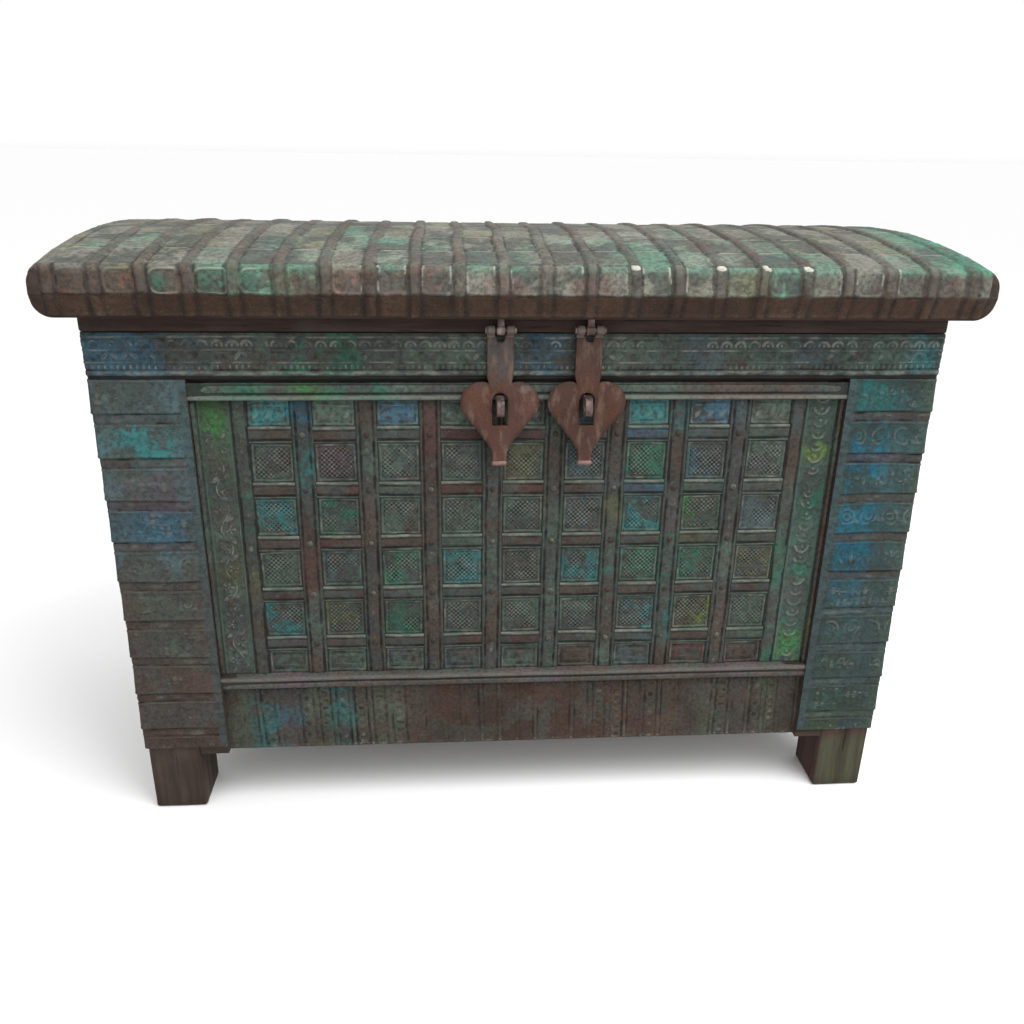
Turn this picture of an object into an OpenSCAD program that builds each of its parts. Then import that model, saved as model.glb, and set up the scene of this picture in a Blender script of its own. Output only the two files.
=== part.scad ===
// Dowry chest: timber posts, rails and boards, an embossed metal front, a crowned lid on
// back hinges, and two heart-shaped hasps that drop over eyes on the front.
// Millimetres, +Z up, the front looks along -Y. The origin is on the floor, under the
// middle of the whole chest's box.

/* [Overall] */
// Width of the body over its corner cladding
body_w = 1100; // [900:5:1350]
// Depth of the body from its front face to its back face
body_d = 510; // [420:5:620]
// Height of the body from the floor to the top of its rim
body_h = 740; // [610:5:900]

/* [Timber frame] */
// Width of a corner post along the front
post_w = 76; // [60:1:95]
// Depth of a corner post along the side
post_d = 80; // [60:1:100]
// Height of the feet under the bottom rails
foot_h = 95; // [60:1:130]
// Height of the bottom rails
bottom_rail_h = 107; // [90:1:140]
// Height of the top rails
top_rail_h = 59; // [48:1:80]
// Thickness of the wall boards and bottom rails
board_t = 22; // [16:0.5:30]
// Width of the filler strips beside the front posts
stile_w = 41; // [25:1:60]
// Height of the rim strips
rim_h = 21; // [16:1:30]
// Width of the rim strips, outside to inside
rim_w = 46; // [38:1:60]
// How far the walls stand back from the faces of the posts
wall_recess = 11; // [8:0.5:16]
// Thickness of the floor boards
floor_t = 18; // [12:1:25]
// Number of floor boards
floor_boards = 3; // [3:1:3]
// Side of the square bearers under the floor
bearer_s = 20; // [15:1:30]
// Open joint between neighbouring boards
board_gap = 0.4; // [0.2:0.1:1]

/* [Front cladding] */
// Height of the posts' cladding over the rails' lower edges
post_skin_rise = 14; // [0:1:30]
// Thickness of the corner and top band cladding
skin_t = 3; // [2:0.5:4]
// Thickness of the panel and apron sheets
sheet_t = 2; // [1:0.5:3]
// Height of the moulding over the panel
top_moulding_h = 25; // [18:1:36]
// Gap between that moulding and the top band
moulding_gap = 5; // [2:1:10]
// Height of the moulding under the panel
bottom_moulding_h = 23; // [8:1:30]
// How far the mouldings stand out of the panel
moulding_t = 12; // [8:1:13]
// Width of the mouldings at the panel's sides
side_moulding_w = 6; // [4:1:10]
// How far the side mouldings stand out of the panel
side_moulding_t = 8; // [5:1:12]
// Width of the leafy borders at the panel's sides
border_w = 43; // [30:1:60]
// Width of the panel's upright strips
rib_w = 29; // [20:1:34]
// Pitch of the panel's upright strips
rib_pitch = 83.2; // [70:0.1:100]
// How far the upright strips stand out of the panel
rib_t = 4; // [2:0.5:6]
// Height of the panel's level strips
band_h = 24; // [16:1:30]
// Pitch of the panel's level strips
band_pitch = 77.5; // [64:0.1:90]
// Distance from the bottom moulding to the first level strip
band_start = 36; // [10:1:60]
// How far the level strips stand out of the panel
band_t = 3; // [2:0.5:5]
// Radius of the round nail heads on the strips
nail_r = 4.5; // [2:0.5:6]
// Height of the nail heads
nail_h = 1.5; // [1:0.5:3]

/* [Lid] */
// Gap between the closed lid and the rim
lid_gap = 1; // [0.5:0.5:3]
// Overhang of the lid past the front face
lid_front_over = 44; // [38:1:60]
// Overhang of the lid past each end
lid_end_over = 40; // [30:1:60]
// Height of the lid's front edge
lid_edge_h = 64; // [50:1:70]
// Rise of the crown over the front edge
crown_rise = 29; // [20:1:50]
// How far the front edge tucks in underneath
lid_tuck = 12; // [6:1:16]
// Height of the lower slope of the front edge
lid_slope_h = 29; // [20:1:35]
// Radius of the rolled ends
end_round = 22; // [12:1:26]
// Thickness of the lid boards
lid_board_t = 18; // [12:1:20]
// Width of the lid's edge rails
lid_rail_w = 60; // [55:1:70]
// Thickness of the metal over the lid
lid_sheet_t = 2; // [1:0.5:3]
// Width of a lid rib
lid_rib_w = 14; // [14:1:30]
// Pitch of the lid ribs
lid_rib_pitch = 53; // [40:1:60]
// How far the ribs' middle lies to the right of the lid's
lid_rib_shift = 20; // [-20:1:20]
// Height of a lid rib
lid_rib_t = 3; // [2:0.5:4]

/* [Hinges] */
// Distance of each hinge from the middle
hinge_x = 330; // [220:5:400]
// Width of a hinge leaf
hinge_w = 90; // [60:5:120]
// Height of a hinge leaf
hinge_leaf_h = 46; // [35:1:46]
// Thickness of a hinge leaf
hinge_leaf_t = 3; // [2:0.5:3]
// Radius of a hinge knuckle
hinge_knuckle_r = 7; // [6:0.5:9]
// Radius of a hinge pin
hinge_pin_r = 3.5; // [2.5:0.5:4.5]

/* [Hasps] */
// Place of the left hasp along the front
hasp_left_x = -34; // [-60:1:-30]
// Place of the right hasp along the front
hasp_right_x = 79; // [75:1:110]
// Depth of the hasp pins under the rim's top
hasp_pin_drop = 15; // [15:1:24]
// Distance of the hasp pins in front of the body
hasp_pin_out = 11; // [10:0.5:14]
// Radius of a hasp pin
hasp_pin_r = 3; // [2:0.5:4]
// Radius of a hasp knuckle
hasp_knuckle_r = 6; // [5:0.5:6.5]
// Thickness of a hasp plate
hasp_t = 3; // [2:0.5:4]
// Width of a hasp's neck
hasp_neck_w = 34; // [26:1:44]
// Distance from the pin to the middle of the heart's lobes
hasp_lobe_drop = 99; // [85:1:115]
// Radius of each lobe of the heart
hasp_lobe_r = 26; // [20:1:30]
// Distance of each lobe from the hasp's middle
hasp_lobe_x = 25; // [18:1:28]
// Distance from the pin to the tip of the heart
hasp_tip_drop = 163; // [150:1:190]
// Width of the heart's tip and its tab
hasp_tip_w = 16; // [10:1:24]
// Length of the tab
hasp_tab_h = 16; // [8:1:24]
// Width of the slot
slot_w = 20; // [16:1:24]
// Height of the slot
slot_h = 44; // [33:1:50]
// Distance from the pin to the middle of the slot
slot_drop = 103; // [100:0.5:120]
// Gap in the knuckles for the lid's eye
eye_gap = 14; // [12:1:18]
// Thickness of the lid's eye
lid_eye_t = 10; // [8:1:12]
// Thickness of a padlock eye
eye_t = 9; // [6:0.5:10]
// Outer radius of a padlock eye
eye_r = 12; // [10:0.5:13]
// How far a padlock eye's middle is over the slot's
eye_lift = 6; // [0:0.5:8]
// Radius of a padlock eye's hole
eye_hole_r = 6; // [4:0.5:7]
// Distance of a padlock eye's hole in front of the body
eye_out = 20.5; // [18:0.5:24]

/* [Hidden] */
$fn = 48;

// Running clearance of a pin in its bore, and slack of a shank in its hole
pin_play = 0.05;
shank_play = 0.2;
// Side gap between hinge knuckles
knuckle_gap = 0.5;
// How far past a face a cutting tool runs
past = 1;

left = -1;
right = 1;
wood = "#4a3a2c";
teal = "#3f5a52";
blue = "#33586b";
iron = "#5a4036";

// Distances behind the front face, before the chest is centred on the origin
hinge_axis_out = hinge_knuckle_r + 0.5;
back_face = body_d - skin_t;
hinge_reach = back_face + hinge_axis_out + hinge_knuckle_r - body_d;
front_y = -(body_d + hinge_reach - lid_front_over) / 2;
wall_in = skin_t + wall_recess + sheet_t;
panel_face = skin_t + wall_recess;
inner_w = body_w - 2 * (wall_in + board_t);
post_inner_x = body_w / 2 - skin_t - post_w;
panel_half_w = post_inner_x - stile_w;
post_front = skin_t;
post_back = back_face - post_d;

// Heights
wall_z = foot_h + bottom_rail_h;
rim_z = body_h - rim_h;
top_rail_z = rim_z - top_rail_h;
wall_h = top_rail_z - wall_z;
top_moulding_z = top_rail_z - moulding_gap - top_moulding_h;
panel_z = wall_z + bottom_moulding_h;
panel_h = top_moulding_z - panel_z;
lid_z = body_h + lid_gap;
floor_z = foot_h + bearer_s + 3;
pin_z = body_h - hasp_pin_drop;
eye_z = pin_z - slot_drop + eye_lift;
hinge_z = body_h + lid_gap / 2;

// The panel's strips: as many as fit between the borders and the mouldings
grid_half_w = panel_half_w - side_moulding_w - border_w;
columns = floor((2 * grid_half_w + rib_w / 2) / rib_pitch);
bands = floor((panel_h - band_start - band_h) / band_pitch) + 1;

// The lid's outline: inset is measured inwards from the ribs' outer face
lid_front_y = -lid_front_over;
lid_half_d = (back_face + lid_front_over) / 2;
crest_y = lid_front_y + lid_half_d;
crown_r = (lid_half_d * lid_half_d + crown_rise * crown_rise) / (2 * crown_rise);
crown_z = lid_z + lid_edge_h + crown_rise - crown_r;
skin_in = lid_rib_t;
core_in = lid_rib_t + lid_sheet_t;
lid_half_w = body_w / 2 + lid_end_over;
lid_rib_room = lid_half_w - end_round - lid_rib_w / 2 - abs(lid_rib_shift);
lid_rib_count = 2 * floor(lid_rib_room / lid_rib_pitch) + 1;
big = 4 * body_w;

// Puts a piece that is drawn from the body's front face into the chest's frame
module in_chest() {
    translate([0, front_y, 0]) children();
}

// A box from its two opposite corners
module block(low, high) {
    translate(low) cube(high - low);
}

// A round bar along X between two places
module bar_x(x0, x1, y, z, r) {
    translate([x0, y, z]) rotate([0, 90, 0]) cylinder(h = x1 - x0, r = r);
}

// ---- Timber frame ----

module leg(side, front) {
    y0 = front ? post_front : post_back;
    outer_x = side * (body_w / 2 - skin_t);
    x0 = min(outer_x, outer_x - side * post_w);
    color(wood) in_chest() block([x0, y0, 0], [x0 + post_w, y0 + post_d, rim_z]);
}

// A wall piece across the front or the back, between the posts
module cross_wall(front, y_out, y_in, z0, z1) {
    y0 = front ? y_out : back_face + skin_t - y_in;
    y1 = front ? y_in : back_face + skin_t - y_out;
    color(wood) in_chest() block([-post_inner_x, y0, z0], [post_inner_x, y1, z1]);
}

// A wall piece along one end, between the posts
module end_wall(side, x_out, x_in, z0, z1) {
    x0 = side > 0 ? body_w / 2 - x_in : -body_w / 2 + x_out;
    color(wood) in_chest()
        block([x0, post_front + post_d, z0], [x0 + x_in - x_out, post_back, z1]);
}

// The shank hole of a padlock eye, through everything it passes
module eye_holes() {
    for (x = [hasp_left_x, hasp_right_x])
        block([x - eye_t / 2 - shank_play, -past, eye_z - eye_r - shank_play],
              [x + eye_t / 2 + shank_play, wall_in + board_t + past, eye_z + eye_r + shank_play]);
}

board_joint_z = wall_z + wall_h / 2;

module front_board(upper) {
    difference() {
        cross_wall(true, wall_in, wall_in + board_t,
                   upper ? board_joint_z + board_gap / 2 : wall_z,
                   upper ? top_rail_z : board_joint_z - board_gap / 2);
        in_chest() eye_holes();
    }
}

module back_board(upper) {
    cross_wall(false, wall_in, wall_in + board_t,
               upper ? board_joint_z + board_gap / 2 : wall_z,
               upper ? top_rail_z : board_joint_z - board_gap / 2);
}

module end_board(side, upper) {
    end_wall(side, wall_in, wall_in + board_t,
             upper ? board_joint_z + board_gap / 2 : wall_z,
             upper ? top_rail_z : board_joint_z - board_gap / 2);
}

module stile(side) {
    x0 = side > 0 ? panel_half_w : -post_inner_x;
    color(wood) in_chest()
        block([x0, post_front, foot_h], [x0 + stile_w, wall_in, top_rail_z]);
}

module cross_rim(front) {
    y0 = front ? 0 : back_face - rim_w;
    color(wood) in_chest()
        block([-body_w / 2, y0, rim_z], [body_w / 2, y0 + rim_w, body_h]);
}

module end_rim(side) {
    x0 = side > 0 ? body_w / 2 - rim_w : -body_w / 2;
    color(wood) in_chest()
        block([x0, rim_w, rim_z], [x0 + rim_w, back_face - rim_w, body_h]);
}

// Floor boards run along the chest and are notched round the posts
floor_front = wall_in + board_t;
floor_back = back_face + skin_t - wall_in - board_t;
floor_pitch = (floor_back - floor_front) / floor_boards;

module floor_board(n) {
    y0 = floor_front + n * floor_pitch + (n > 0 ? board_gap : 0);
    color(wood) in_chest() difference() {
        block([-inner_w / 2, y0, floor_z],
              [inner_w / 2, floor_front + (n + 1) * floor_pitch, floor_z + floor_t]);
        for (side = [left, right], y = [0, post_back - board_gap])
            block([side > 0 ? post_inner_x - board_gap : -body_w, y, 0],
                  [side > 0 ? body_w : -post_inner_x + board_gap,
                   y > 0 ? body_d : post_front + post_d + board_gap, body_h]);
    }
}

module floor_bearers() {
    color(wood) in_chest()
        for (y0 = [floor_front, floor_back - bearer_s])
            block([-post_inner_x, y0, floor_z - bearer_s],
                  [post_inner_x, y0 + bearer_s, floor_z]);
}

// ---- Cladding ----

// Metal that covers a front post and its stile, and turns round the corner
module post_skin(side) {
    x_in = panel_half_w;
    x_out = body_w / 2;
    color(blue) in_chest() mirror([side > 0 ? 0 : 1, 0, 0]) {
        block([x_in, 0, foot_h + post_skin_rise], [x_out, skin_t, top_rail_z]);
        block([x_out - skin_t, 0, foot_h + post_skin_rise],
              [x_out, post_front + post_d, top_rail_z]);
    }
}

module top_band_skin() {
    color(teal) in_chest() {
        block([-body_w / 2, 0, top_rail_z], [body_w / 2, skin_t, rim_z]);
        for (x = [-body_w / 2, body_w / 2 - skin_t])
            block([x, 0, top_rail_z], [x + skin_t, post_front + post_d, rim_z]);
    }
}

module panel_sheet() {
    color(teal) in_chest() difference() {
        block([-panel_half_w, panel_face, wall_z], [panel_half_w, wall_in, top_rail_z]);
        eye_holes();
    }
}

module apron_sheet() {
    color(teal) in_chest()
        block([-panel_half_w, panel_face, foot_h], [panel_half_w, wall_in, wall_z]);
}

// A moulding's section is a rounded nose on a flat back, drawn upright and laid along X
module moulding(z0, h, t) {
    nose = min(h / 2, t) * 0.6;
    color(wood) in_chest() intersection() {
        block([-panel_half_w, panel_face - t, z0], [panel_half_w, panel_face, z0 + h]);
        union() {
            block([-panel_half_w, panel_face - t + nose, z0],
                  [panel_half_w, panel_face, z0 + h]);
            for (z = [z0 + nose, z0 + h - nose])
                bar_x(-panel_half_w, panel_half_w, panel_face - t + nose, z, nose);
            block([-panel_half_w, panel_face - t, z0 + nose],
                  [panel_half_w, panel_face, z0 + h - nose]);
        }
    }
}

module top_moulding() {
    difference() {
        moulding(top_moulding_z, top_moulding_h, moulding_t);
        in_chest() eye_holes();
    }
}

module bottom_moulding() {
    moulding(wall_z, bottom_moulding_h, moulding_t);
}

module side_mouldings() {
    color(wood) in_chest()
        for (x = [-panel_half_w, panel_half_w - side_moulding_w])
            block([x, panel_face - side_moulding_t, panel_z],
                  [x + side_moulding_w, panel_face, top_moulding_z]);
}

function rib_x(i) = (i - columns / 2) * rib_pitch;
function band_z(i) = panel_z + band_start + i * band_pitch;

// Upright strips between the columns of squares, the outermost against the borders
module panel_ribs() {
    color(wood) in_chest() difference() {
        for (i = [0 : columns])
            block([max(rib_x(i) - rib_w / 2, -grid_half_w), panel_face - rib_t, panel_z],
                  [min(rib_x(i) + rib_w / 2, grid_half_w), panel_face, top_moulding_z]);
        eye_holes();
    }
}

// Level strips between the rows of squares, in short lengths from rib to rib
module panel_bands() {
    color(wood) in_chest() difference() {
        for (i = [0 : columns - 1], j = [0 : bands - 1])
            block([rib_x(i) + rib_w / 2, panel_face - band_t, band_z(j)],
                  [rib_x(i + 1) - rib_w / 2, panel_face, band_z(j) + band_h]);
        eye_holes();
    }
}

// Nail heads where the strips cross
module cladding_nails() {
    color(iron) in_chest()
        for (i = [1 : columns - 1], j = [0 : bands - 1])
            if (abs(band_z(j) + band_h / 2 - eye_z) > eye_r + nail_r
                || min(abs(rib_x(i) - hasp_left_x), abs(rib_x(i) - hasp_right_x)) > eye_r)
                translate([rib_x(i), panel_face - rib_t, band_z(j) + band_h / 2])
                    rotate([90, 0, 0]) cylinder(h = nail_h, r = nail_r);
}

// ---- Padlock eyes on the front ----

// A flat bar through the panel with a round nose and a hole for a shackle
module padlock_eye(x) {
    color(iron) in_chest() difference() {
        union() {
            block([x - eye_t / 2, -eye_out, eye_z - eye_r],
                  [x + eye_t / 2, wall_in + board_t, eye_z + eye_r]);
            bar_x(x - eye_t / 2, x + eye_t / 2, -eye_out, eye_z, eye_r);
        }
        bar_x(x - eye_t / 2 - past, x + eye_t / 2 + past, -eye_out, eye_z, eye_hole_r);
    }
}

// ---- Hinges ----

hinge_y = back_face + hinge_axis_out;
knuckle_w = (hinge_w - 2 * knuckle_gap) / 3;
hinge_xs = [-hinge_x, hinge_x];

// A leaf with its knuckles: spans lists each knuckle's two ends, from the hinge's middle
module hinge_leaf(x, z0, z1, spans) {
    difference() {
        union() {
            block([x - hinge_w / 2, back_face, z0],
                  [x + hinge_w / 2, back_face + hinge_leaf_t, z1]);
            for (s = spans) {
                bar_x(x + s[0], x + s[1], hinge_y, hinge_z, hinge_knuckle_r);
                block([x + s[0], back_face, min(z0, hinge_z)],
                      [x + s[1], back_face + hinge_leaf_t, max(z1, hinge_z)]);
            }
        }
        bar_x(x - hinge_w, x + hinge_w, hinge_y, hinge_z, hinge_pin_r + pin_play);
    }
}

leaf_clear = hinge_knuckle_r + 1;
module hinge_body_leaves() {
    outer = [[-hinge_w / 2, -hinge_w / 2 + knuckle_w], [hinge_w / 2 - knuckle_w, hinge_w / 2]];
    color(iron) in_chest()
        for (x = hinge_xs)
            hinge_leaf(x, hinge_z - leaf_clear - hinge_leaf_h, hinge_z - leaf_clear, outer);
}

module hinge_lid_leaves() {
    middle = [[-knuckle_w / 2, knuckle_w / 2]];
    color(iron) in_chest()
        for (x = hinge_xs)
            hinge_leaf(x, hinge_z + leaf_clear, hinge_z + hinge_leaf_h, middle);
}

module hinge_pins() {
    head_t = 2;
    head_r = hinge_pin_r + 1.5;
    color(iron) in_chest()
        for (x = hinge_xs) {
            bar_x(x - hinge_w / 2 - knuckle_gap, x + hinge_w / 2 + knuckle_gap,
                  hinge_y, hinge_z, hinge_pin_r);
            for (s = [left, right])
                bar_x(x + s * (hinge_w / 2 + knuckle_gap + head_t / 2) - head_t / 2,
                      x + s * (hinge_w / 2 + knuckle_gap + head_t / 2) + head_t / 2,
                      hinge_y, hinge_z, head_r);
        }
}

// ---- Lid ----

// The lid's section behind the front face, taken in by inset from the ribs' outer face
crown_steps = 20;
crown_a = asin((lid_half_d - 8) / crown_r);
function crown_point(a, inset) =
    [crest_y + (crown_r - inset) * sin(a), crown_z + (crown_r - inset) * cos(a)];
function lid_outline(inset) = concat(
    [[lid_front_y + lid_tuck + inset, lid_z],
     [lid_front_y + inset, lid_z + lid_slope_h],
     [lid_front_y + inset + 2, lid_z + lid_edge_h - 8]],
    [for (i = [0 : crown_steps]) crown_point(-crown_a + 2 * crown_a * i / crown_steps, inset)],
    [[back_face - max(inset - skin_in, 0), lid_z + lid_edge_h - 8],
     [back_face - max(inset - skin_in, 0), lid_z]]);

// The lid's section as a solid from x0 to x1
module lid_slab(x0, x1, inset) {
    translate([x0, 0, 0]) rotate([90, 0, 90]) linear_extrude(x1 - x0)
        polygon(lid_outline(inset));
}

// Keeps to the rolled shape of the ends, seen from the front
module end_outline(inset) {
    half = lid_half_w - inset;
    r = end_round - inset / 2;
    translate([0, body_d + big / 2, 0]) rotate([90, 0, 0]) linear_extrude(big) union() {
        translate([-half + r, lid_z]) square([2 * (half - r), big]);
        translate([-half, lid_z + r]) square([2 * half, big]);
        for (s = [left, right]) translate([s * (half - r), lid_z + r]) circle(r);
    }
}

// The crown's upper rolled edge: a drum about the crown's axis with rounded rims, which
// stands just clear of the crown so that it shapes only the ends
drum_clear = 0.6;
module crown_drum(inset) {
    half = lid_half_w - inset;
    r = crown_r - inset + drum_clear;
    round_r = end_round - inset / 2;
    translate([0, crest_y, crown_z]) rotate([0, 90, 0]) {
        translate([0, 0, -half + round_r]) cylinder(h = 2 * (half - round_r), r = r, $fn = 180);
        translate([0, 0, -half]) cylinder(h = 2 * half, r = r - round_r, $fn = 180);
        for (s = [left, right]) translate([0, 0, s * (half - round_r)])
            rotate_extrude($fn = 180) translate([r - round_r, 0]) circle(round_r);
    }
}

// The whole lid as one rolled body, taken in by inset
module lid_form(inset) {
    intersection() {
        lid_slab(-lid_half_w + inset, lid_half_w - inset, inset);
        end_outline(inset);
        crown_drum(inset);
    }
}

rail_x = lid_half_w - core_in - lid_rail_w;
rail_front_y = lid_front_y + core_in + lid_rail_w;
rail_back_y = back_face - lid_sheet_t - lid_rail_w;
shank_s = 8;
lid_eye_y = -hasp_pin_out;
lid_eye_r = 6.5;
shank_top = lid_z + 34;

module lid_eye_holes() {
    for (x = [hasp_left_x, hasp_right_x])
        block([x - shank_s / 2 - shank_play, lid_eye_y - shank_s / 2 - shank_play, 0],
              [x + shank_s / 2 + shank_play, lid_eye_y + shank_s / 2 + shank_play,
               shank_top + shank_play]);
}

module lid_rail_front() {
    color(wood) in_chest() difference() {
        intersection() {
            lid_slab(-rail_x, rail_x, core_in);
            block([-rail_x, -big, 0], [rail_x, rail_front_y, big]);
        }
        lid_eye_holes();
    }
}

module lid_rail_back() {
    color(wood) in_chest() intersection() {
        lid_slab(-rail_x, rail_x, core_in);
        block([-rail_x, rail_back_y, 0], [rail_x, big, big]);
    }
}

module lid_end(side) {
    color(wood) in_chest() intersection() {
        lid_form(core_in);
        block([side > 0 ? rail_x : -big, -big, 0], [side > 0 ? big : -rail_x, big, big]);
    }
}

// A crowned board: the crown's section between two places, as thick as a board
module lid_board(y0, y1) {
    color(wood) in_chest() intersection() {
        difference() {
            lid_slab(-rail_x, rail_x, core_in);
            lid_slab(-lid_half_w, lid_half_w, core_in + lid_board_t);
        }
        block([-rail_x, y0, lid_z + lid_board_t], [rail_x, y1, big]);
    }
}

module lid_sheet() {
    color(teal) in_chest() difference() {
        lid_form(skin_in);
        lid_form(core_in);
        block([-big, -big, 0], [big, big, lid_z + 0.5]);
    }
}

// Raised ribs from the underside of the front edge over the crown to the back edge
module lid_ribs() {
    color(wood) in_chest()
        for (i = [0 : lid_rib_count - 1]) {
            x = (i - (lid_rib_count - 1) / 2) * lid_rib_pitch + lid_rib_shift;
            difference() {
                lid_slab(x - lid_rib_w / 2, x + lid_rib_w / 2, 0);
                lid_slab(x - lid_rib_w, x + lid_rib_w, skin_in);
                block([-big, -big, 0], [big, big, lid_z + 2]);
            }
        }
}

// Eyes that hang from the front rail and carry the hasp pins
module lid_eyes() {
    color(iron) in_chest()
        for (x = [hasp_left_x, hasp_right_x])
            difference() {
                union() {
                    block([x - shank_s / 2, lid_eye_y - shank_s / 2, pin_z],
                          [x + shank_s / 2, lid_eye_y + shank_s / 2, shank_top]);
                    bar_x(x - lid_eye_t / 2, x + lid_eye_t / 2, lid_eye_y, pin_z, lid_eye_r);
                }
                bar_x(x - big, x + big, lid_eye_y, pin_z, hasp_pin_r + pin_play);
            }
}

// ---- Hasps ----

// Touching point of the straight edge from the heart's tip on its lobe
tip = [hasp_tip_w / 2, -hasp_tip_drop];
lobe = [hasp_lobe_x, -hasp_lobe_drop];
reach = norm(lobe - tip);
lean = atan2(lobe[1] - tip[1], lobe[0] - tip[0]);
edge_a = lean - asin(hasp_lobe_r / reach);
edge_len = sqrt(reach * reach - hasp_lobe_r * hasp_lobe_r);
touch = tip + edge_len * [cos(edge_a), sin(edge_a)];

// The heart's outline below the pin, which is at the outline's origin
module heart() {
    difference() {
        union() {
            translate([-hasp_neck_w / 2, -hasp_lobe_drop])
                square([hasp_neck_w, hasp_lobe_drop - hasp_knuckle_r - 2]);
            for (s = [left, right]) translate([s * lobe[0], lobe[1]]) circle(hasp_lobe_r);
            polygon([tip, touch, lobe, [-lobe[0], lobe[1]], [-touch[0], touch[1]], [-tip[0], tip[1]]]);
            translate([-hasp_tip_w / 2, -hasp_tip_drop - hasp_tab_h])
                square([hasp_tip_w, hasp_tab_h + past]);
        }
        translate([-slot_w / 2, -slot_drop - slot_h / 2]) square([slot_w, slot_h]);
    }
}

plate_back = -hasp_pin_out + hasp_knuckle_r;
module hasp_plate(x) {
    color(iron) in_chest() difference() {
        union() {
            translate([x, plate_back, pin_z]) rotate([90, 0, 0]) linear_extrude(hasp_t) heart();
            for (s = [left, right]) {
                x0 = x + s * (hasp_neck_w + eye_gap) / 4 - (hasp_neck_w - eye_gap) / 4;
                x1 = x0 + (hasp_neck_w - eye_gap) / 2;
                bar_x(x0, x1, -hasp_pin_out, pin_z, hasp_knuckle_r);
                block([x0, plate_back - hasp_t, pin_z - hasp_knuckle_r - 2 - past],
                      [x1, plate_back, pin_z]);
            }
            // The tab curls outwards
            bar_x(x - hasp_tip_w / 2, x + hasp_tip_w / 2,
                  plate_back - hasp_t, pin_z - hasp_tip_drop - hasp_tab_h + hasp_t, hasp_t);
        }
        bar_x(x - big, x + big, -hasp_pin_out, pin_z, hasp_pin_r + pin_play);
    }
}

module hasp_pin(x) {
    head_t = 2;
    head_r = hasp_pin_r + 1.5;
    half = hasp_neck_w / 2 + knuckle_gap;
    color(iron) in_chest() {
        bar_x(x - half, x + half, -hasp_pin_out, pin_z, hasp_pin_r);
        bar_x(x - half - head_t, x - half, -hasp_pin_out, pin_z, head_r);
        bar_x(x + half, x + half + head_t, -hasp_pin_out, pin_z, head_r);
    }
}

leg(left, true);  // leg_front_left
leg(right, true);  // leg_front_right
leg(left, false);  // leg_back_left
leg(right, false);  // leg_back_right
cross_wall(true, wall_in, wall_in + board_t, foot_h, wall_z);  // bottom_rail_front
cross_wall(false, wall_in, wall_in + board_t, foot_h, wall_z);  // bottom_rail_back
end_wall(left, wall_in, wall_in + board_t, foot_h, wall_z);  // bottom_rail_left
end_wall(right, wall_in, wall_in + board_t, foot_h, wall_z);  // bottom_rail_right
cross_wall(true, skin_t, wall_in + board_t, top_rail_z, rim_z);  // top_rail_front
cross_wall(false, skin_t, wall_in + board_t, top_rail_z, rim_z);  // top_rail_back
end_wall(left, skin_t, wall_in + board_t, top_rail_z, rim_z);  // top_rail_left
end_wall(right, skin_t, wall_in + board_t, top_rail_z, rim_z);  // top_rail_right
cross_rim(true);  // rim_front
cross_rim(false);  // rim_back
end_rim(left);  // rim_left
end_rim(right);  // rim_right
front_board(false);  // front_board_lower
front_board(true);  // front_board_upper
back_board(false);  // back_board_lower
back_board(true);  // back_board_upper
end_board(left, false);  // left_board_lower
end_board(left, true);  // left_board_upper
end_board(right, false);  // right_board_lower
end_board(right, true);  // right_board_upper
stile(left);  // stile_left
stile(right);  // stile_right
floor_board(0);  // floor_board_front
floor_board(1);  // floor_board_middle
floor_board(2);  // floor_board_back
floor_bearers();
post_skin(left);  // post_skin_left
post_skin(right);  // post_skin_right
top_band_skin();
panel_sheet();
apron_sheet();
top_moulding();
bottom_moulding();
side_mouldings();
panel_ribs();
panel_bands();
cladding_nails();
padlock_eye(hasp_left_x);  // padlock_eye_left
padlock_eye(hasp_right_x);  // padlock_eye_right
hinge_body_leaves();
hinge_pins();
lid_board(rail_front_y, crest_y - board_gap / 2);  // lid_board_front
lid_board(crest_y + board_gap / 2, rail_back_y);  // lid_board_back
lid_rail_front();
lid_rail_back();
lid_end(left);  // lid_end_left
lid_end(right);  // lid_end_right
lid_sheet();
lid_ribs();
lid_eyes();
hinge_lid_leaves();
hasp_plate(hasp_left_x);  // hasp_plate_left
hasp_plate(hasp_right_x);  // hasp_plate_right
hasp_pin(hasp_left_x);  // hasp_pin_left
hasp_pin(hasp_right_x);  // hasp_pin_right
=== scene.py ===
"""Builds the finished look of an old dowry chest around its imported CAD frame.

The timber is worn, the front and the lid are covered with hand-embossed metal whose relief is
real geometry, and the paint that is left on each plate follows the short plans below.
Relief is worked out in millimetres, in the chest's own frame: x to the right, y to the back.
"""
import math

import bpy
import numpy as np
from bpy.props import FloatProperty, FloatVectorProperty, IntProperty, PointerProperty
from mathutils import Matrix, Vector


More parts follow.
